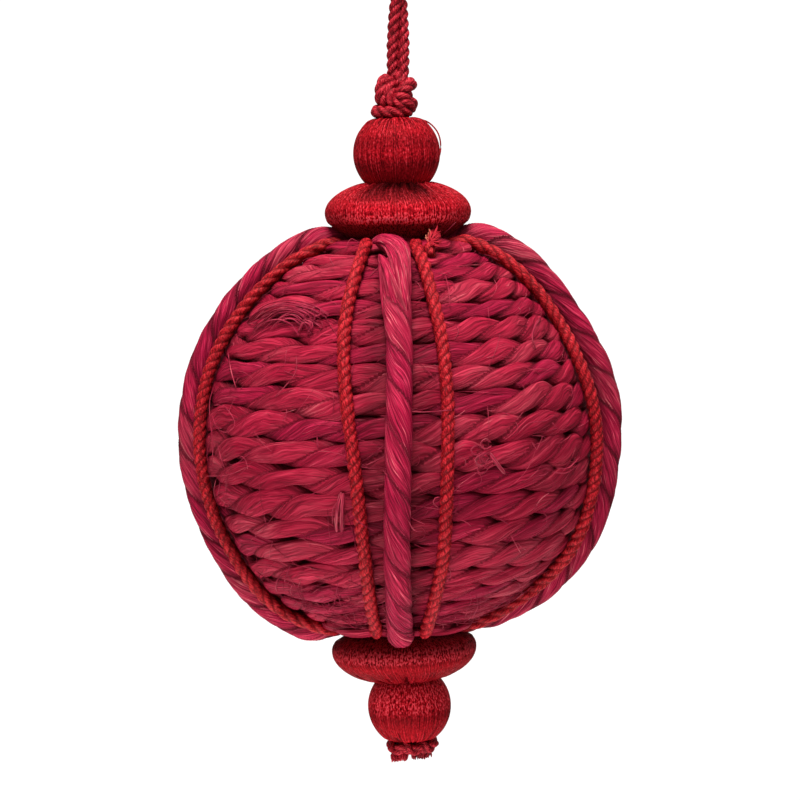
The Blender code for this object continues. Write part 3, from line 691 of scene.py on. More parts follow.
def yarn(name, deep, body, light, specular, roughness):
    """Shiny twisted yarn: fine filaments across each ply, with painted glints as bright specks where they
    turn to the light, and painted shade in the creases between plies.
    """
    finish = Finish(name)
    strand = finish.field("strand")[0]
    tone, pit = finish.field("shade")[1:3]
    fine = finish.noise(strand, 3.2, 0.7, 1, 1.0, 0.6)
    speck = finish.noise(strand, 4.2, 2.6, 1, 1.0, 0.7)
    # The bright specks are painted glints; where they lie the yarn is also smoother.
    streak = (fine * 0.55 + speck * 0.45 - 0.5) * 4.0 + 0.5 + tone * 0.04
    colour = finish.ramp(streak, (0.10, deep), (0.50, body), (0.95, light))
    # Painted shade in the creases between plies; the pit field also darkens one clump of frayed ends.
    shaded_colour = finish.blend(pit * 0.68, colour, (0.28, 0.16, 0.20, 1), "MULTIPLY")
    rough = (1 - speck) * 0.5 + (roughness - 0.2)
    return finish.surface(shaded_colour, rough, fine * 0.6 + speck * 0.6, 0.00022, specular)


EDGE_YARN = yarn("yarn of the thin cords", (0.122, 0.0015, 0.0042), (0.275, 0.0044, 0.0095),
                 (0.500, 0.018, 0.026), 0.08, 0.45)
edge_line = laid_line(EDGE_WIDTH, EDGE_TUCKS, EDGE_TURN_RADIUS, EDGE_STEP, EDGE_FURTHER)
edge_radius, edge_height, edge_latitude = edge_line.T
edge_lay = EDGE_LAY / np.maximum(np.cos(edge_latitude), 0.55)
edge_end = np.cos(np.where(edge_latitude > 0, edge_latitude[-1], edge_latitude[0]))
for k, (place, (rope, side, shape)) in enumerate(EDGE_CORDS.items()):
    if isinstance(shape, tuple):
        offset = by_latitude(edge_latitude, *shape)
    else:
        bow = (np.cos(edge_latitude) - edge_end) / (1 - edge_end) * (1 + shape * np.sin(edge_latitude))
        offset = EDGE_POLE_OFFSET + (EDGE_EQUATOR_OFFSET - EDGE_POLE_OFFSET) * bow
    out, right = bearing_vectors(ROPE_BEARINGS[rope])
    swelling = sag(math.radians(ROPE_BEARINGS[rope]), edge_latitude)
    radius = edge_radius + swelling * np.cos(edge_latitude)
    height = edge_height + swelling * np.sin(edge_latitude)
    outwards = np.sqrt(radius**2 - offset**2)
    path = outwards[:, None] * out + side * offset[:, None] * right + height[:, None] * UP
    grid = rope_grid(path + CENTRE, unit(path), EDGE_WIDTH, 3, edge_lay, 1, EDGE_SPREAD, YARN_SLANT,
                     YARN_DETAIL, EDGE_FACETS, 80 + k, 0.3)
    skin("thin_cord_" + place, [grid], EDGE_YARN, ["edge_cord_" + place])

# Discs and beads. Turned forms wound closely with fine rayon thread, which runs over the rim and dives into
# the hole at each end; near the holes the turns pile up into pleats.
THREAD = 0.50
# Shapes are (radius, height) in millimetres over the rim's height, the rest is in metres. The looks hold
# painted glints, painted light and shade and a painted shadow of the ball, as said at spun_form.
FINIALS = {
    "top": {
        "sign": 1, "rim": 0.05083, "shift": -0.00025, "lean": math.radians(-1.2), "bead": 0.0196,
        "neck": 0.006714, "bead_aside": 0.0, "under": ((3.0, -7.6), (6.6, -8.2), (9.6, -7.2), (12.2, -5.2)),
        "crown": ((16.5, 0), (16.35, 1.04), (15.8, 2.22), (15.0, 3.2), (13.9, 4.15), (12.5, 5.03),
                  (10.8, 5.82), (9.2, 6.39), (7.8, 6.75)),
        "disc_look": {
            "shine": (-0.3, -1.1), "spark": (0.42, 1.7), "shaded": (-1.65, -2.9, 0.15), "crease_shade_height": -0.3,
            "light": ((-1.6, 3.2), (-0.9, 2.2), (-0.3, 1.25), (1.1, 1.5), (3.1, 0.50), (5.0, 0.19),
                      (6.2, 0.06)),
            "sides": 0.95},
        "bead_look": {
            "shine": (-4.5, -0.5), "spark": (0.0, 0.32), "shaded": (1.0, -22.0, 0.8),
            "light": ((-5.9, 2.5), (-5.2, 2.2), (-3.8, 1.3), (-2.4, 0.82), (-0.9, 1.15), (0.6, 1.0),
                      (1.8, 0.77), (3.4, 0.77), (4.6, 1.0))}},
    "bottom": {
        "sign": -1, "rim": 0.04842, "shift": 0.0012, "lean": math.radians(-3.0), "bead": 0.0189,
        "neck": 0.006773, "bead_aside": 0.0005, "under": ((3.0, -5.8), (6.6, -7.4), (10.2, -5.5)),
        "crown": ((16.4, 0), (16.3, 0.8), (15.85, 1.9), (15.0, 3.1), (13.8, 4.2), (12.2, 5.25),
                  (10.5, 6.05), (9.0, 6.55), (7.6, 6.85)),
        "disc_look": {
            "shine": (1.15, 0.9), "spark": (0.05, 1.6), "shaded": (0.1, -1.1, 0.35), "crease_shade_height": 1.25,
            "light": ((-2.0, 0.8), (-0.6, 0.45), (0.3, 0.80), (1.3, 0.66), (2.0, 1.03), (2.7, 1.03),
                      (4.1, 0.75), (4.9, 0.66), (6.0, 0.78))},
        "bead_look": {
            "shine": (2.2, -0.5), "spark": (0.0, 1.0), "shaded": (-30.0, -31.0, 0.0),
            "light": ((-4.3, 1.35), (-1.6, 1.25), (0.0, 1.0), (0.8, 0.84), (1.8, 0.72), (3.2, 1.0),
                      (6.6, 1.25))}},
}
RIM = (15.8, -2.2), (16.15, -1.6), (16.4, -0.8)
# Where a bead's round ends at its poles, as a share of its radius, how deep it nests in the disc, and the
# dimple at its holes.
BEAD_FLAT = 0.76
BEAD_NEST = 0.0010
BEAD_END = (5.35, 0.42), (4.3, 0.66), (3.1, 0.55), (2.1, -0.4), (1.3, -2.4)
DISC_COLUMNS, BEAD_COLUMNS = 360, 280
# The radius at which pleats are deepest, how deep they are and how high the bundles of turns stand.
DISC_MOUTH, BEAD_MOUTH = 7.4, 6.4
DISC_PLEATS, BEAD_PLEATS = 0.9, 0.35
PLEAT_COUNT = 46
RIDGE = 0.07
# Brightness in the shadow of the ball, and at the sides.
SHADOW_LIGHT = 0.50
SIDE_LIGHT = 1.05


def wound_thread(name, deep, body, bright, spark, specular):
    """Rayon thread wound side by side: each turn a fine line, with painted glints in short dashes where it
    twists, painted shade in its pleats and creases, and painted light and shade by height.
    """
    finish = Finish(name)
    strand = finish.field("strand")[0]
    _, glint, pit, light = finish.field("shade")
    turns = finish.noise(strand, 1.5, 0.10, 1, 1.0, 0.5)
    twist = finish.noise(strand, 1.45, 1.1, 3, 0.0, 0.5)
    dot = finish.noise(strand, 1.8, 2.1, 5, 0.0, 0.5)
    # Painted glints: more contrast and a lighter tone where the glint field is high.
    glitter = (twist * 0.55 + dot * 0.45 - 0.5) * (glint * 3.0 + 0.9)
    tone = (turns - 0.5) * 1.7 + glitter + glint * 0.21 + 0.42
    colour = finish.ramp(tone, (0.05, deep), (0.50, body), (0.82, bright), (1.0, spark))
    # Painted shade in the pleats and along the rim's crease.
    shaded_colour = finish.blend(pit * 0.9, colour, (0.16, 0.10, 0.13, 1), "MULTIPLY")
    # Painted light and shade by height, and the painted shadow of the ball.
    lit = finish.blend(1.0, shaded_colour, light, "MULTIPLY")
    rough = (1 - twist) * 0.4 + 0.30
    return finish.surface(lit, rough, turns * 0.6 + twist * 0.8 + dot * 0.4, 0.00020, specular)


SPUN = wound_thread("thread of discs and beads", (0.085, 0.0008, 0.0022), (0.242, 0.0030, 0.0066),
                    (0.415, 0.0105, 0.019), (0.540, 0.034, 0.048), 0.02)


def walked(corners, step):
    """Points along straight lines through corners, in steps no longer than the given one."""
    corners = np.asarray(corners, float)
    parts = [np.linspace(a, b, max(math.ceil(np.linalg.norm(b - a) / step), 1), endpoint=False)
             for a, b in zip(corners, corners[1:])]
    return np.vstack([*parts, corners[-1:]])


def spun_form(profile, mouth, columns, placed, seed, pleats, swirl, shine, spark, shaded, light, crease_shade_height=99.0,
              sides=0.0):
    """Grid of a turned form wound with thread, from its outline of (radius, height) in millimetres.

    The outline is turned round the axis. The surface rises and sinks with bundles of turns, which drift
    sideways a little, and with wedge-shaped pleats that deepen towards the mouth and hold painted shade.
    Between the two heights of shine its painted glints grow from the first spark to the second. Between those
    of shaded it goes into a painted shadow of the ball, with an edge as ragged as the third says. Light gives
    its painted brightness by height, which runs out towards the sides by their share. A thin line of painted
    shade lies along the rim's crease, at its given height.
    """
    run = run_of(profile)[:, None]
    radius, height = profile[:, :1], profile[:, 1:]
    slope = unit(np.gradient(profile, axis=0))
    turn = np.linspace(0, 2 * math.pi, columns, endpoint=False)[None, :]
    widest = radius.max()
    total = round(2 * math.pi * widest / THREAD)
    near_hole = np.clip((widest * 0.98 - radius) / (widest * 0.98 - mouth), 0, 1) * (height > 0)
    turns = turn / (2 * math.pi) * total + swirl * np.sin(math.pi * near_hole)
    length = run + 0 * turn

    def looped(scale, long, shift):
        """Lattice noise that closes round the form: two samples a turn apart, blended over the last tenth."""
        share = smooth_step((turn / (2 * math.pi) - 0.9) / 0.1)
        first = grain(turns / scale + shift, length / long, seed + 7)
        return first * (1 - share) + share * grain((turns - total) / scale + shift, length / long, seed + 7)

    ridge = np.abs(looped(1.6, 16, 0.0)) ** 0.8
    groove = 0 * ridge
    rng = np.random.default_rng(seed)
    for way, wide, reach, bend, strength in zip(
            rng.uniform(0, 2 * math.pi, PLEAT_COUNT), rng.uniform(0.022, 0.050, PLEAT_COUNT),
            rng.uniform(0.10, 0.70, PLEAT_COUNT), rng.normal(0, 0.10, PLEAT_COUNT),
            rng.uniform(0.5, 1.0, PLEAT_COUNT)):
        aside = (turn - way - bend * near_hole + math.pi) % (2 * math.pi) - math.pi
        wedge = np.exp(-((aside / (wide * (0.35 + near_hole))) ** 2))
        groove = np.maximum(groove, wedge * smooth_step((near_hole - reach) / 0.25) * strength)
    lift = RIDGE * (ridge - 0.5) * 2 - pleats * groove
    lift = lift * smooth_step(np.minimum(run, run[-1] - run))
    points = round_axis(radius + lift * slope[:, 1:2], turn, height - lift * slope[:, 0:1]) / MM
    # A thin line of painted shade along the rim's crease.
    line = 0.45 * np.exp(-(((height - crease_shade_height) / 0.16) ** 2))
    # Painted glints, growing between the two heights of shine.
    glint = spark[0] + (spark[1] - spark[0]) * smooth_step((height - shine[0]) / (shine[1] - shine[0]))
    # The painted shadow of the ball, with a ragged edge.
    ragged = shaded[2] * (looped(1.1, 3.0, 3.0) + 0.7 * looped(3.7, 9.0, 12.0))
    shadow = smooth_step((height - shaded[0] - ragged) / (shaded[1] - shaded[0]))
    # Painted light and shade by height, streaked near the hole and running out towards the sides.
    level = np.interp(height + 1.9 * near_hole * looped(1.5, 40.0, 21.0), *np.transpose(light))
    level = level + (SIDE_LIGHT - level) * sides * smooth_step((np.abs(np.sin(turn)) - 0.42) / 0.40)
    level = level * (1 - shadow) + SHADOW_LIGHT * shadow
    return placed(points), marks(turns, length, seed, glint, np.maximum(groove, line), level), False


def disc_outline(finial):
    """Half a lens in millimetres: the side on the ball, the rim, and the crown up to the bead's seat."""
    seat = MM * (BEAD_FLAT * finial["bead"] / 2 - BEAD_NEST)
    mouth = math.sqrt((MM * finial["bead"] / 2) ** 2 - seat**2)
    neck = MM * finial["neck"]
    return np.vstack([walked([*finial["under"], *RIM, finial["crown"][0]], 0.9)[:-1],
                      smooth_curve(finial["crown"], 0.75),
                      walked([(mouth - 0.8, neck - 1.2), (3.0, neck - 3.0)], 1.5)])


def bead_outline(width):
    """A ball in millimetres, drawn flatter at both poles, with a dimple at each hole."""
    limit = math.asin(BEAD_FLAT)
    around = np.linspace(-limit, limit, 34)
    ball = MM * width / 2 * np.stack([np.cos(around), np.sin(around)], axis=1)
    end = np.array([(radius, ball[-1, 1] + rise) for radius, rise in BEAD_END])
    return np.vstack([end[::-1] * (1, -1), ball, end])


def finial_frame(finial, rise, aside=0.0):
    """Placing of points over the rim's height on the finial's leaning axis."""
    lean, sign = finial["lean"], finial["sign"]

    def placed(points):
        x, y, z = points[..., 0], sign * points[..., 1], sign * (points[..., 2] + rise)
        right, up = x * math.cos(lean) + z * math.sin(lean), z * math.cos(lean) - x * math.sin(lean)
        return np.stack([right, y, up], axis=-1) + (
            finial["shift"] + aside, 0, BALL_HEIGHT + sign * finial["rim"])

    return placed


LOOSE_TURN = ((3.4, 7.7), (6.5, 7.25), (8.45, 5.8), (9.6, 3.9), (9.95, 1.4), (9.7, -0.8))
for k, (name, finial) in enumerate(FINIALS.items()):
    disc = spun_form(disc_outline(finial), DISC_MOUTH, DISC_COLUMNS, finial_frame(finial, 0), 120 + k,
                     DISC_PLEATS, 2.0, **finial["disc_look"])
    place_bead = finial_frame(finial, finial["neck"] - BEAD_NEST + BEAD_FLAT * finial["bead"] / 2,
                              finial["bead_aside"])
    beads = [spun_form(bead_outline(finial["bead"]), BEAD_MOUTH, BEAD_COLUMNS, place_bead, 130 + k,
                       BEAD_PLEATS, 0.0, **finial["bead_look"])]
    if name == "top":
        turn_line = smooth_curve([(right, -0.4, up) for right, up in LOOSE_TURN], 0.8) / MM
        beads.append(tape(place_bead(turn_line), UP, 0.0004, 0.0004, 6, 0.0, 0.0, 3))
    skin(f"spun_{name}_disc", [disc], SPUN, [f"{name}_disc"])
    skin(f"spun_{name}_bead", beads, SPUN, [f"{name}_bead"])

# The cord. One three-ply cord, doubled: both legs leave the top bead together, are tied in an overhand knot
# that sits on it, and run up in a slow twist to the loop that goes over the hook.
CORD_WIDTH = 0.0025
CORD_FULL_WIDTH = 0.0028
KNOT_WIDTH = 0.0031
CORD_LAY = 0.0064
LOOP_DROP = 0.0352
CORD_STEP = 0.00032
CORD_FACETS = 24
CORD_SPREAD = 0.235
# Courses of the knot's strands, in millimetres from the bead's upper end.
KNOT_STRANDS = (
    ((-1.02, 0.3, 9.17), (-2.72, -0.5, 8.26), (-3.06, -1.0, 6.79), (-3.28, -1.2, 5.20), (-2.60, -1.0, 3.62),
     (-1.47, 0.3, 2.72), (-0.11, 1.6, 2.26)),
    ((-0.91, -0.2, 9.50), (-1.13, -0.8, 7.92), (-1.29, -1.5, 6.56), (-1.24, -2.0, 5.20), (-0.57, -2.4, 3.96),
     (1.02, -2.8, 3.28), (2.60, -2.4, 3.39), (3.51, -0.8, 3.39), (3.06, 0.9, 2.94), (1.24, 2.4, 2.72)),
    ((-0.34, -1.4, 4.30), (0.79, -2.5, 5.54), (2.15, -2.7, 6.79), (3.35, -1.5, 7.65), (3.28, 0.2, 7.69),
     (1.92, 2.0, 7.47), (0.57, 2.4, 6.79)),
    ((0.11, -2.0, 4.07), (1.24, -2.9, 4.98), (2.26, -2.2, 5.20), (2.38, -0.4, 5.09), (1.47, 1.6, 4.98)),
    ((3.01, 0.6, 2.40), (3.01, -1.2, 2.00), (1.70, -2.4, 1.60), (-0.11, -3.2, 1.35), (-1.92, -3.3, 1.35),
     (-3.51, -2.6, 1.55), (-4.21, -1.2, 1.75), (-3.96, 0.4, 1.85), (-2.38, 2.2, 1.60), (-0.11, 3.2, 1.35),
     (1.92, 2.4, 1.60)),
    ((-2.6, -1.4, 1.30), (-0.6, -1.6, 0.95), (1.2, -1.2, 0.95), (2.2, 0.4, 1.2), (0.6, 1.4, 1.1),
     (-1.6, 1.2, 1.1)),
    ((1.92, 2.2, 7.24), (0.11, 2.8, 7.69), (-1.70, 2.2, 7.47), (-3.06, 0.6, 6.79)),
    ((3.51, 0.8, 3.62), (1.47, 3.0, 4.30), (-0.79, 3.2, 4.75), (-2.60, 2.0, 4.98), (-3.28, 0.4, 5.20)),
    ((-0.11, 0.2, 9.96), (-0.11, 0.6, 7.24), (-0.11, 0.2, 4.53), (-0.34, 0.2, 2.26)),
    ((1.36, 0.3, 10.64), (1.36, -0.5, 9.05), (0.79, -0.7, 7.47), (0.23, -0.5, 6.11), (0.11, 0.6, 4.75)),
)
# One leg of the loop, from the knot to the turn over the hook. The other is the same, turned half round.
LOOP_LEG = (
    (-0.00135, 0.00036, -0.0352), (-0.00139, 0.00018, -0.0317), (-0.00140, -0.00010, -0.0282),
    (-0.00130, -0.00052, -0.0247), (-0.00105, -0.00093, -0.0212), (-0.00070, -0.00122, -0.0182),
    (-0.00020, -0.00139, -0.0157), (0.00055, -0.00131, -0.0134), (0.00145, -0.00090, -0.0113),
    (0.00262, -0.00042, -0.0092), (0.00392, -0.00012, -0.0070), (0.00480, 0.0, -0.0048),
    (0.00482, 0.0, -0.0024), (0.00372, 0.0, -0.0004), (0.00198, 0.0, 0.0009),
)
# The foot that goes on into the knot, and how closely the legs' lowest points are pressed together.
LEG_FOOT = -0.0011, 0.0005, -0.0372
LEG_PRESS, PRESSED_POINTS = 0.86, 8
LOOP_TOP = 0.0, 0.0, CORD_WIDTH / 2
CORD_YARN = yarn("yarn of the hanging cord", (0.120, 0.0018, 0.005), (0.262, 0.0047, 0.012),
                 (0.500, 0.026, 0.042), 0.08, 0.45)


def carried(path, start=(0.0, -1.0, 0.0)):
    """A direction square to the path, carried along it without turning about it."""
    along = unit(np.gradient(path, axis=0))
    normals = [np.asarray(start, float)]
    for direction in along:
        normal = normals[-1] - direction * np.dot(normals[-1], direction)
        normals.append(normal / np.linalg.norm(normal))
    return np.array(normals[1:])


def cord_grid(path, seed, width=CORD_FULL_WIDTH):
    """Grid of the three-ply cord along a path."""
    return rope_grid(path, carried(path), width, 3, CORD_LAY, 1, CORD_SPREAD, YARN_SLANT, YARN_DETAIL,
                     CORD_FACETS, seed, 0.35)


leg = np.array([LEG_FOOT, *LOOP_LEG])
leg[:PRESSED_POINTS, :2] *= LEG_PRESS
loop_path = smooth_curve(np.vstack([leg, LOOP_TOP, (leg * (-1, -1, 1))[::-1]]), CORD_STEP)
loop_path[:, 0] += FINIALS["top"]["shift"] * np.clip(-loop_path[:, 2] / LOOP_DROP, 0, 1)
loop = skin("cord_loop", [cord_grid(loop_path, 140)], CORD_YARN, ["hanging_loop"])

top = FINIALS["top"]
place_knot = finial_frame(top, top["neck"] - BEAD_NEST + BEAD_FLAT * top["bead"] + TOUCH_GAP)
knots = [cord_grid(place_knot(smooth_curve(strand, MM * CORD_STEP) / MM), 150 + k, KNOT_WIDTH)
         for k, strand in enumerate(KNOT_STRANDS)]
skin("cord_knot", knots, CORD_YARN, ["top_knot"])

# The end of the cord. It comes out under the bottom bead, is knotted there into a small ruffle, and below
# that its cut ends fray into two clumps. The points are millimetres from the bead's lower end.
RUFFLE = ((-4.8, 0.3, 1.5), (-3.4, 2.0, 2.6), (-1.6, 2.7, 1.7), (0.2, 2.9, 2.7), (2.0, 2.7, 1.8),
          (3.6, 1.9, 2.6), (5.0, 0.4, 1.5), (3.9, -1.8, 2.2), (1.5, -2.8, 1.7), (-1.5, -2.8, 2.3),
          (-3.8, -1.8, 1.8), (-4.8, 0.3, 1.5))
RUFFLE_CORE = ((-2.8, 0.6, 1.2), (-0.8, 1.0, 2.2), (1.0, 0.9, 1.4), (2.9, 0.4, 2.2), (0.6, -1.0, 2.2),
               (-2.0, -0.8, 1.6))
# Each clump's foot, how far its threads reach left and right, their highest and lowest ends, how dark it is.
CLUMPS = (-1.6, (-4.4, -0.8), (3.5, 5.6), 0.0), (1.9, (0.0, 4.2), (3.2, 5.4), 1.0)
CLUMP_THREADS, CLUMP_THREAD_WIDTH = 56, 0.00052
bottom = FINIALS["bottom"]
place_tail = finial_frame(bottom, bottom["neck"] - BEAD_NEST + BEAD_FLAT * bottom["bead"],
                          bottom["bead_aside"])
tail_grids = [cord_grid(place_tail(smooth_curve(ring, MM * CORD_STEP) / MM), 160 + k)
              for k, ring in enumerate((RUFFLE, RUFFLE_CORE))]
rng = np.random.default_rng(170)
for base, (left, right), (high, low), dark in CLUMPS:
    for k in range(CLUMP_THREADS):
        share = rng.uniform(0, 1)
        start = np.array([base + rng.normal(0, 0.3), rng.normal(0.3, 0.5), 2.4])
        bend = np.array([left + (right - left) * share, rng.normal(0.4, 0.7), high + rng.uniform(-0.2, 0.2)])
        end = bend + (rng.normal(-0.3 if base < 0 else 0.1, 0.25), rng.normal(0, 0.3), low - high - 0.3)
        path = place_tail(smooth_curve([start, bend, end], 0.6) / MM)
        tail_grids.append(tape(path, (0, -1.0, 0.1), CLUMP_THREAD_WIDTH, CLUMP_THREAD_WIDTH, 5, 0.3, dark,
                               171 + k))
skin("cord_tail", tail_grids, CORD_YARN, ["bottom_knot"])

# Loose fibres. Raffia sheds: stray fibres stand off the rows everywhere, some strips have torn free and curl,
# and a cut end of thin cord beside the front rope has frayed to straw-coloured tips.
FIBRE_COUNT = 620
# (fibres, from and to which bearing, from and to which latitude) where the rows shed most.
SHAGGY_PLACES = (170, (285, 350), (-69, -42)), (80, (10, 75), (-66, -40))
FRAYED_WIDTHS, FRAYED_COPIES = (0.4, 0.5), 5
# Torn strips: (width in millimetres, how pale, course as for the fan of torn strips).
TORN = (
    (1.0, 0.7, ((-16.3, -10.7, 0.3), (-17.0, -14.0, 1.2), (-18.0, -18.3, 1.3), (-18.7, -22.4, 0.6))),
    (1.2, 0.7, ((-15.6, -10.9, 0.3), (-15.9, -15.2, 1.5), (-17.0, -22.1, 0.9))),
    (0.3, 0.7, ((-16.6, -12.8, 0.6), (-18.5, -14.9, 1.3), (-19.4, -19.7, 1.0))),
    (1.2, 0.5, ((25.2, 0.2, 0.6), (25.9, -1.4, 1.5), (27.7, -3.6, 1.6), (30.0, -5.9, 1.2))),
    (0.5, 0.5, ((25.5, -0.9, 0.6), (23.1, 0.1, 1.6), (21.7, -1.2, 1.6), (23.3, -2.6, 1.4),
                (25.4, -1.7, 0.9))),
    (0.4, 0.5, ((25.4, -1.2, 0.8), (22.6, -3.4, 1.6), (20.9, -2.5, 1.6), (22.2, -0.7, 1.2))),
    (0.28, 0.6, ((25.5, -2.7, 1.2), (20.9, -5.5, 1.2), (15.6, -9.4, 0.6))),
    (0.35, 0.4, ((11.7, -11.8, 0.6), (9.8, -11.7, 1.6), (9.4, -13.1, 1.6), (11.2, -14.9, 0.8))),
    (0.25, 0.6, ((-12.8, -15.5, 3.2), (-9.9, -18.1, 3.4), (-7.2, -21.5, 1.0))),
    (0.3, 0.6, ((2.3, -16.3, 4.5), (4.0, -19.3, 4.0), (6.7, -21.1, 2.0))),
    (0.25, 0.5, ((4.3, -24.4, 2.5), (7.9, -27.0, 1.2), (11.6, -28.7, 0.8))),
    (0.25, 0.6, ((-4.2, -3.8, 2.5), (-2.7, -5.0, 4.5))),
    (0.25, 0.5, ((17.7, -18.6, 0.8), (19.4, -19.0, 1.2), (21.5, -20.7, 0.6))),
    (0.25, 0.7, ((-33.7, 27.1, 0.4), (-31.6, 22.4, 1.1), (-33.6, 18.7, 1.0), (-37.9, 14.8, 0.4))),
    (0.3, 0.7, ((-71.5, 27.0, 0.6), (-59.4, 21.1, 1.4), (-55.4, 16.4, 0.6))),
    (0.28, 0.7, ((-68.5, 16.6, 1.2), (-68.0, 12.0, 1.6), (-65.5, 6.6, 1.6), (-64.3, -0.2, 1.0),
                 (-69.3, -7.7, 0.5))),
    (0.3, 0.5, ((-67.6, 10.8, 0.8), (-57.6, 10.8, 1.4), (-51.5, 6.7, 1.4), (-55.4, 4.0, 1.2),
                (-61.9, 4.7, 1.0), (-67.9, 8.0, 0.6))),
    (0.28, 0.8, ((-67.1, 11.6, 0.8), (-58.0, 13.2, 1.6), (-51.7, 14.3, 1.0))),
    (0.45, -0.5, ((-67.6, 36.0, 0.4), (-59.4, 40.3, 1.1), (-46.3, 42.1, 1.4), (-34.6, 41.2, 1.2),
                  (-27.1, 39.2, 0.4))),
    (0.45, -0.5, ((-61.8, 35.3, 0.4), (-53.8, 39.2, 1.1), (-44.1, 40.8, 1.4), (-35.0, 39.6, 1.2),
                  (-29.2, 37.5, 0.4))),
    (0.45, -0.5, ((-55.0, 35.5, 0.4), (-49.1, 38.7, 1.1), (-41.7, 39.6, 1.4), (-35.1, 38.3, 1.2),
                  (-31.2, 35.6, 0.4))),
    (0.4, -0.5, ((-49.3, 35.7, 0.4), (-45.7, 37.8, 1.1), (-40.2, 38.7, 1.3), (-35.6, 37.2, 1.0))),
    (0.5, -0.5, ((-36.2, 34.8, 0.4), (-34.1, 37.3, 1.3), (-30.8, 36.2, 1.2), (-32.3, 34.5, 0.5))),
    (0.35, 0.7, ((-33.5, 38.0, 0.5), (-29.8, 38.6, 1.3), (-26.0, 40.0, 1.3), (-25.4, 38.8, 0.9))),
    (0.25, 0.7, ((-88.5, 34.0, 0.6), (-58.5, 36.0, 1.2), (-51.2, 40.4, 0.9))),
    (0.6, 0.6, ((-23.0, 4.3, 0.3), (-22.2, 1.4, 1.2))),
    (0.22, 0.7, ((-19.5, 17.9, 0.5), (-18.3, 14.4, 1.0), (-18.5, 10.7, 0.5))),
    (0.75, 0.6, ((62.5, 38.3, 0.3), (51.7, 34.7, 1.5), (47.3, 31.1, 1.6), (49.1, 28.4, 0.4))),
    (0.22, 0.6, ((25.6, 12.7, 0.4), (25.2, 7.8, 1.0), (25.1, 0.2, 0.4))),
    (0.25, 0.6, ((39.4, 2.5, 0.4), (40.6, 0.1, 1.2))),
    (0.25, 0.6, ((40.6, 0.1, 1.2), (43.9, 3.7, 0.5))),
    (0.25, 0.5, ((48.2, 7.3, 0.4), (49.4, 5.2, 1.2), (52.9, 4.8, 1.0))),
    (0.3, 0.5, ((35.2, 5.2, 0.4), (38.5, 7.5, 1.2), (44.2, 7.7, 1.2), (51.4, 9.4, 0.4))),
    (0.25, 0.6, ((35.2, 42.4, 0.4), (32.5, 38.0, 1.2))),
    (0.22, 0.8, ((-62.6, 0.5, 0.6), (-58.8, -3.4, 1.2), (-58.0, -7.6, 0.6))),
    (0.2, 0.8, ((-70.9, -9.4, 1.5), (-55.7, -7.8, 1.2), (-45.9, -4.7, 0.6))),
    (0.3, 0.8, ((-60.4, -15.0, 0.6), (-55.6, -14.6, 1.4), (-58.3, -16.0, 1.4), (-59.8, -18.0, 0.5))),
    (0.3, 0.7, ((-45.7, -37.7, 0.4), (-50.8, -40.9, 1.4), (-57.0, -44.9, 1.4), (-77.7, -52.0, 0.5))),
    (0.25, 0.6, ((36.4, -24.5, 0.4), (37.8, -26.4, 1.3), (43.0, -30.6, 0.8))),
    (0.25, 0.6, ((39.7, -26.6, 0.4), (40.4, -27.6, 1.3), (44.8, -29.7, 0.8))),
    (0.3, 0.7, ((33.2, -46.6, 0.4), (36.8, -50.6, 1.3), (47.0, -60.4, 0.6))),
    (0.3, 0.5, ((48.2, -12.6, 0.4), (43.6, -14.0, 1.2), (43.0, -17.5, 0.5))),
    (0.35, 0.4, ((48.2, -6.6, 0.4), (53.5, -7.1, 1.2), (62.0, -5.4, 0.6))),
    (0.35, 0.4, ((49.9, -5.6, 0.4), (54.3, -5.8, 1.2), (62.3, -3.4, 0.6))),
    (0.25, 0.6, ((-40.3, 66.5, 0.5), (-42.1, 70.2, 2.0), (-34.0, 69.2, 2.0), (-26.9, 68.0, 1.0))),
    (0.3, 0.7, ((-41.2, 60.4, 1.5), (-32.3, 56.0, 1.8))),
    (0.22, 0.6, ((22.1, 54.3, 0.5), (19.8, 46.7, 1.4), (19.1, 42.2, 0.5))),
    (0.25, 0.6, ((1.3, 11.2, 4.0), (7.0, 11.3, 1.5), (14.0, 11.5, 3.0))),
    (0.22, 0.7, ((3.0, -16.2, 3.0), (5.0, -18.1, 1.6), (7.4, -19.4, 1.0))),
    (0.25, 0.8, ((47.1, 67.6, 2.0), (38.4, 62.3, 3.0), (36.1, 60.2, 3.0))),
    (0.2, 0.9, ((44.2, 57.4, 4.0), (45.3, 55.2, 4.6), (49.5, 54.1, 4.2))),
    (0.2, 0.6, ((41.2, 72.1, 2.5), (40.4, 70.1, 4.5), (42.6, 69.1, 6.5))),
    (0.2, 0.6, ((33.8, 72.8, 3.0), (27.5, 71.5, 5.5))),
)
FRAY_STUB = (20.0, 63.6, 0.0), (20.2, 64.8, 0.9), (20.6, 66.2, 1.6), (21.2, 67.4, 1.9)
FRAY_FOOT, FRAY_NECK = (19.9, 64.8, 1.2), np.array([21.0, 66.8, 2.3])
FRAY_TIPS = ((18.8, 68.1, 3.4), (25.2, 71.6, 3.6), (31.8, 73.6, 3.6), (35.6, 73.6, 3.6), (34.1, 71.6, 3.6),
             (31.1, 68.7, 3.6), (27.2, 65.5, 3.4), (23.6, 63.3, 3.2), (20.5, 66.8, 3.8), (26.4, 69.4, 4.0),
             (33.0, 72.4, 4.2), (29.0, 67.6, 3.8))
FRAY_THREADS, FRAY_WIDTH, STRAW_TIPS = 60, 0.00036, 2
FIBRE_STEP = 0.0007
TORN_SHRINK = 0.75
PALE_RAFFIA = raffia("raffia of loose fibres", (0.190, 0.006, 0.022), (0.320, 0.018, 0.044),
                     (0.430, 0.050, 0.078), (0.540, 0.130, 0.140), 0.06, 1.0, 1.5, (0.97, 0.80, 1.22, 1))
rng = np.random.default_rng(300)
strays = []
shaggy = [place for count, *place in SHAGGY_PLACES for _ in range(count)]
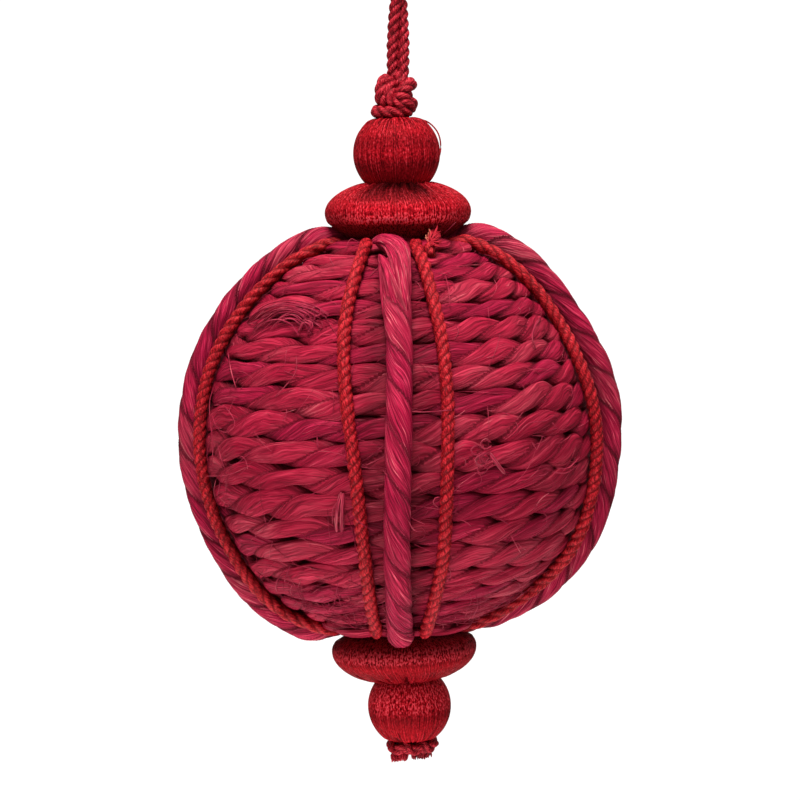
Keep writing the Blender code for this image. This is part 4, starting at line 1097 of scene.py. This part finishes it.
for k in range(FIBRE_COUNT + len(shaggy)):
    length = rng.uniform(3.5, 13)
    curl = rng.normal(0, 0.05) if rng.random() < 0.8 else rng.choice((-1, 1)) * rng.uniform(0.3, 0.8)
    length = length if abs(curl) < 0.25 else rng.uniform(3, 6)
    heading = math.radians(rng.normal(14, 16) if rng.random() < 0.85 else rng.uniform(-90, 90))
    share = np.linspace(0, 1, 9)
    way = heading + curl * length * share
    east = np.concatenate([[0], np.cumsum(np.cos(way[1:]))]) * length / 8
    north = np.concatenate([[0], np.cumsum(np.sin(way[1:]))]) * length / 8
    latitude = math.degrees(math.asin(rng.uniform(-0.93, 0.93)))
    bearing = rng.uniform(0, 360)
    free = rng.choice((0, 0, 0, 1)) * rng.uniform(0, 1.4)
    if k >= FIBRE_COUNT:
        bearings, latitudes = shaggy[k - FIBRE_COUNT]
        bearing, latitude, free = rng.uniform(*bearings), rng.uniform(*latitudes), rng.uniform(0, 1.6)
    rise = -0.35 + rng.uniform(0.4, 0.9) * np.sin(math.pi * share) + free * share**2
    scale = math.degrees(1 / (MM * WINDING_RADIUS))
    path = on_ball(np.stack([bearing + east * scale / math.cos(math.radians(latitude)),
                             latitude + north * scale, rise], axis=1))
    width = rng.uniform(0.00008, 0.00018)
    strays.append(tape(path, unit(path - CENTRE), width, width, 4, rng.uniform(-0.8, 0.9), 0.0, 300 + k))
for k, (width, pale, places) in enumerate(TORN):
    for copy in range(FRAYED_COPIES if FRAYED_WIDTHS[0] <= width <= FRAYED_WIDTHS[1] else 1):
        path = smooth_curve(on_ball(np.array(places) + copy * rng.normal(0, (0.5, 0.5, 0.08))), FIBRE_STEP)
        strays.append(tape(path, unit(path - CENTRE), width * TORN_SHRINK / MM,
                           min(width, 0.3) * TORN_SHRINK / MM, 6, pale, 0.0, 800 + 9 * k + copy))
skin("loose_fibres", strays, PALE_RAFFIA)

fray = Finish("frayed cord end")
fray_tone = fray.field("shade")[1]
fray_spots = fray.noise(fray.field("strand")[0], 2.0, 0.6, 1, 2.0)
fray_colour = fray.blend(fray_tone**5, (0.40, 0.012, 0.026, 1), (0.52, 0.20, 0.11, 1))
fray_colour = fray.blend(fray_spots * 0.6, fray_colour, (0.20, 0.004, 0.010, 1))
FRAY = fray.surface(fray_colour, fray_spots * 0.2 + 0.5, fray_spots, 0.0001, 0.1)
stub = smooth_curve(on_ball(FRAY_STUB), EDGE_STEP)
skin("cut_end", [rope_grid(stub, unit(stub - CENTRE), EDGE_WIDTH * 0.9, 3, EDGE_LAY, 1, 0.205, YARN_SLANT,
                           YARN_DETAIL, EDGE_FACETS, 99, 0.3)], EDGE_YARN)
fray_grids = []
for k in range(FRAY_THREADS):
    tip = FRAY_TIPS[k % len(FRAY_TIPS)] + rng.normal(0, (1.1, 0.5, 0.3))
    middle = (FRAY_NECK + tip) * 0.5 + rng.normal(0, (0.8, 0.3, 0.3))
    neck = FRAY_NECK + rng.normal(0, (0.8, 0.2, 0.3))
    path = smooth_curve(on_ball([FRAY_FOOT, neck, middle, tip]), FIBRE_STEP)
    tone = 1.0 if k % len(FRAY_TIPS) < STRAW_TIPS else 0.35
    fray_grids.append(tape(path, (0, -1.0, 0.2), FRAY_WIDTH, FRAY_WIDTH, 4, tone, 0.0, 901 + k))
skin("frayed_end", fray_grids, FRAY)

# The studio. The ornament hangs well above a pale floor in a white tent that is darker round its sides. A
# large soft lamp hangs over it, and two weak ones stand to the right and below.
FLOOR_DROP, FLOOR_REACH = 0.46, 0.45
# Light of the white surroundings by height, from straight below at 0 to straight above at 1.
TENT_LIGHT = (0.0, 0.45), (0.42, 0.165), (0.52, 0.165), (0.72, 0.60), (1.0, 0.95)
# Each lamp's place from the middle of the view, its size and its power.
LAMPS = {
    "soft key": ((-0.04, -0.35, 0.81), 0.42, 14.2),
    "soft fill": ((0.60, -0.50, 0.25), 0.45, 0.4),
    "bounce": ((-0.08, -0.20, -0.34), 0.28, 2.0),
}
# How far up and right the view's middle is from the ball's, and how steeply and from how far it is looked at.
VIEW_RISE = 0.0084
VIEW_RIGHT = 0.00023
VIEW_ANGLE = math.radians(4)
VIEW_DISTANCE = 0.679

floor_mesh = bpy.data.meshes.new("floor")
corners = [(x * FLOOR_REACH, y * FLOOR_REACH, -FLOOR_DROP) for x, y in ((-1, -1), (1, -1), (1, 1), (-1, 1))]
floor_mesh.from_pydata(corners, [], [(0, 1, 2, 3)])
floor = bpy.data.objects.new("floor", floor_mesh)
bpy.context.collection.objects.link(floor)
paint = Finish("pale floor")
speckle = paint.noise(paint.node("ShaderNodeTexCoord")[3], 40, 40, 40, 2.0)
pale = paint.ramp(speckle, (0.3, (0.86, 0.86, 0.86)), (0.7, (0.9, 0.9, 0.9)))
floor_mesh.materials.append(paint.surface(pale, speckle * 0.1 + 0.6, speckle, 0.0001, 0.2))

tent = Finish("white tent", "worlds")
upward = tent.node("ShaderNodeSeparateXYZ", None, {0: tent.node("ShaderNodeTexCoord")[0]})[2]
rise = tent.node("ShaderNodeMapRange", None, {0: upward, "From Min": -1})[0]
glow = tent.ramp(rise, *((position, (level, level, level)) for position, level in TENT_LIGHT))
light = tent.node("ShaderNodeBackground", None, {0: glow, 1: 1.0})[0]
seen = tent.node("ShaderNodeBackground", None, {0: (1, 1, 1, 1), 1: 1.1})[0]
from_camera = tent.node("ShaderNodeLightPath")[0]
mixed = tent.node("ShaderNodeMixShader", None, {0: from_camera, 1: light, 2: seen})[0]
tent.node("ShaderNodeOutputWorld", None, {0: mixed})
bpy.context.scene.world = tent.owner

target = np.array([VIEW_RIGHT, 0, BALL_HEIGHT + VIEW_RISE])
for name, (away, size, power) in LAMPS.items():
    lamp = bpy.data.lights.new(name, "AREA")
    lamp.shape, lamp.size, lamp.energy = "DISK", size, power
    x, y, z = away
    lamp_object = bpy.data.objects.new(name, lamp)
    lamp_object.location = target + away
    lamp_object.rotation_euler = (math.acos(z / math.hypot(x, y, z)), 0, math.atan2(-y, -x) - math.pi / 2)
    bpy.context.collection.objects.link(lamp_object)

camera_data = bpy.data.cameras.new("camera")
camera_data.sensor_width, camera_data.lens = 36, 135
camera_data.clip_start, camera_data.clip_end = 0.01, 20
camera = bpy.data.objects.new("camera", camera_data)
camera.location = target + VIEW_DISTANCE * np.array([0, -math.cos(VIEW_ANGLE), math.sin(VIEW_ANGLE)])
camera.rotation_euler = (math.pi / 2 - VIEW_ANGLE, 0, 0)
bpy.context.collection.objects.link(camera)
bpy.context.scene.camera = camera
bpy.context.scene.view_settings.view_transform = "Standard"
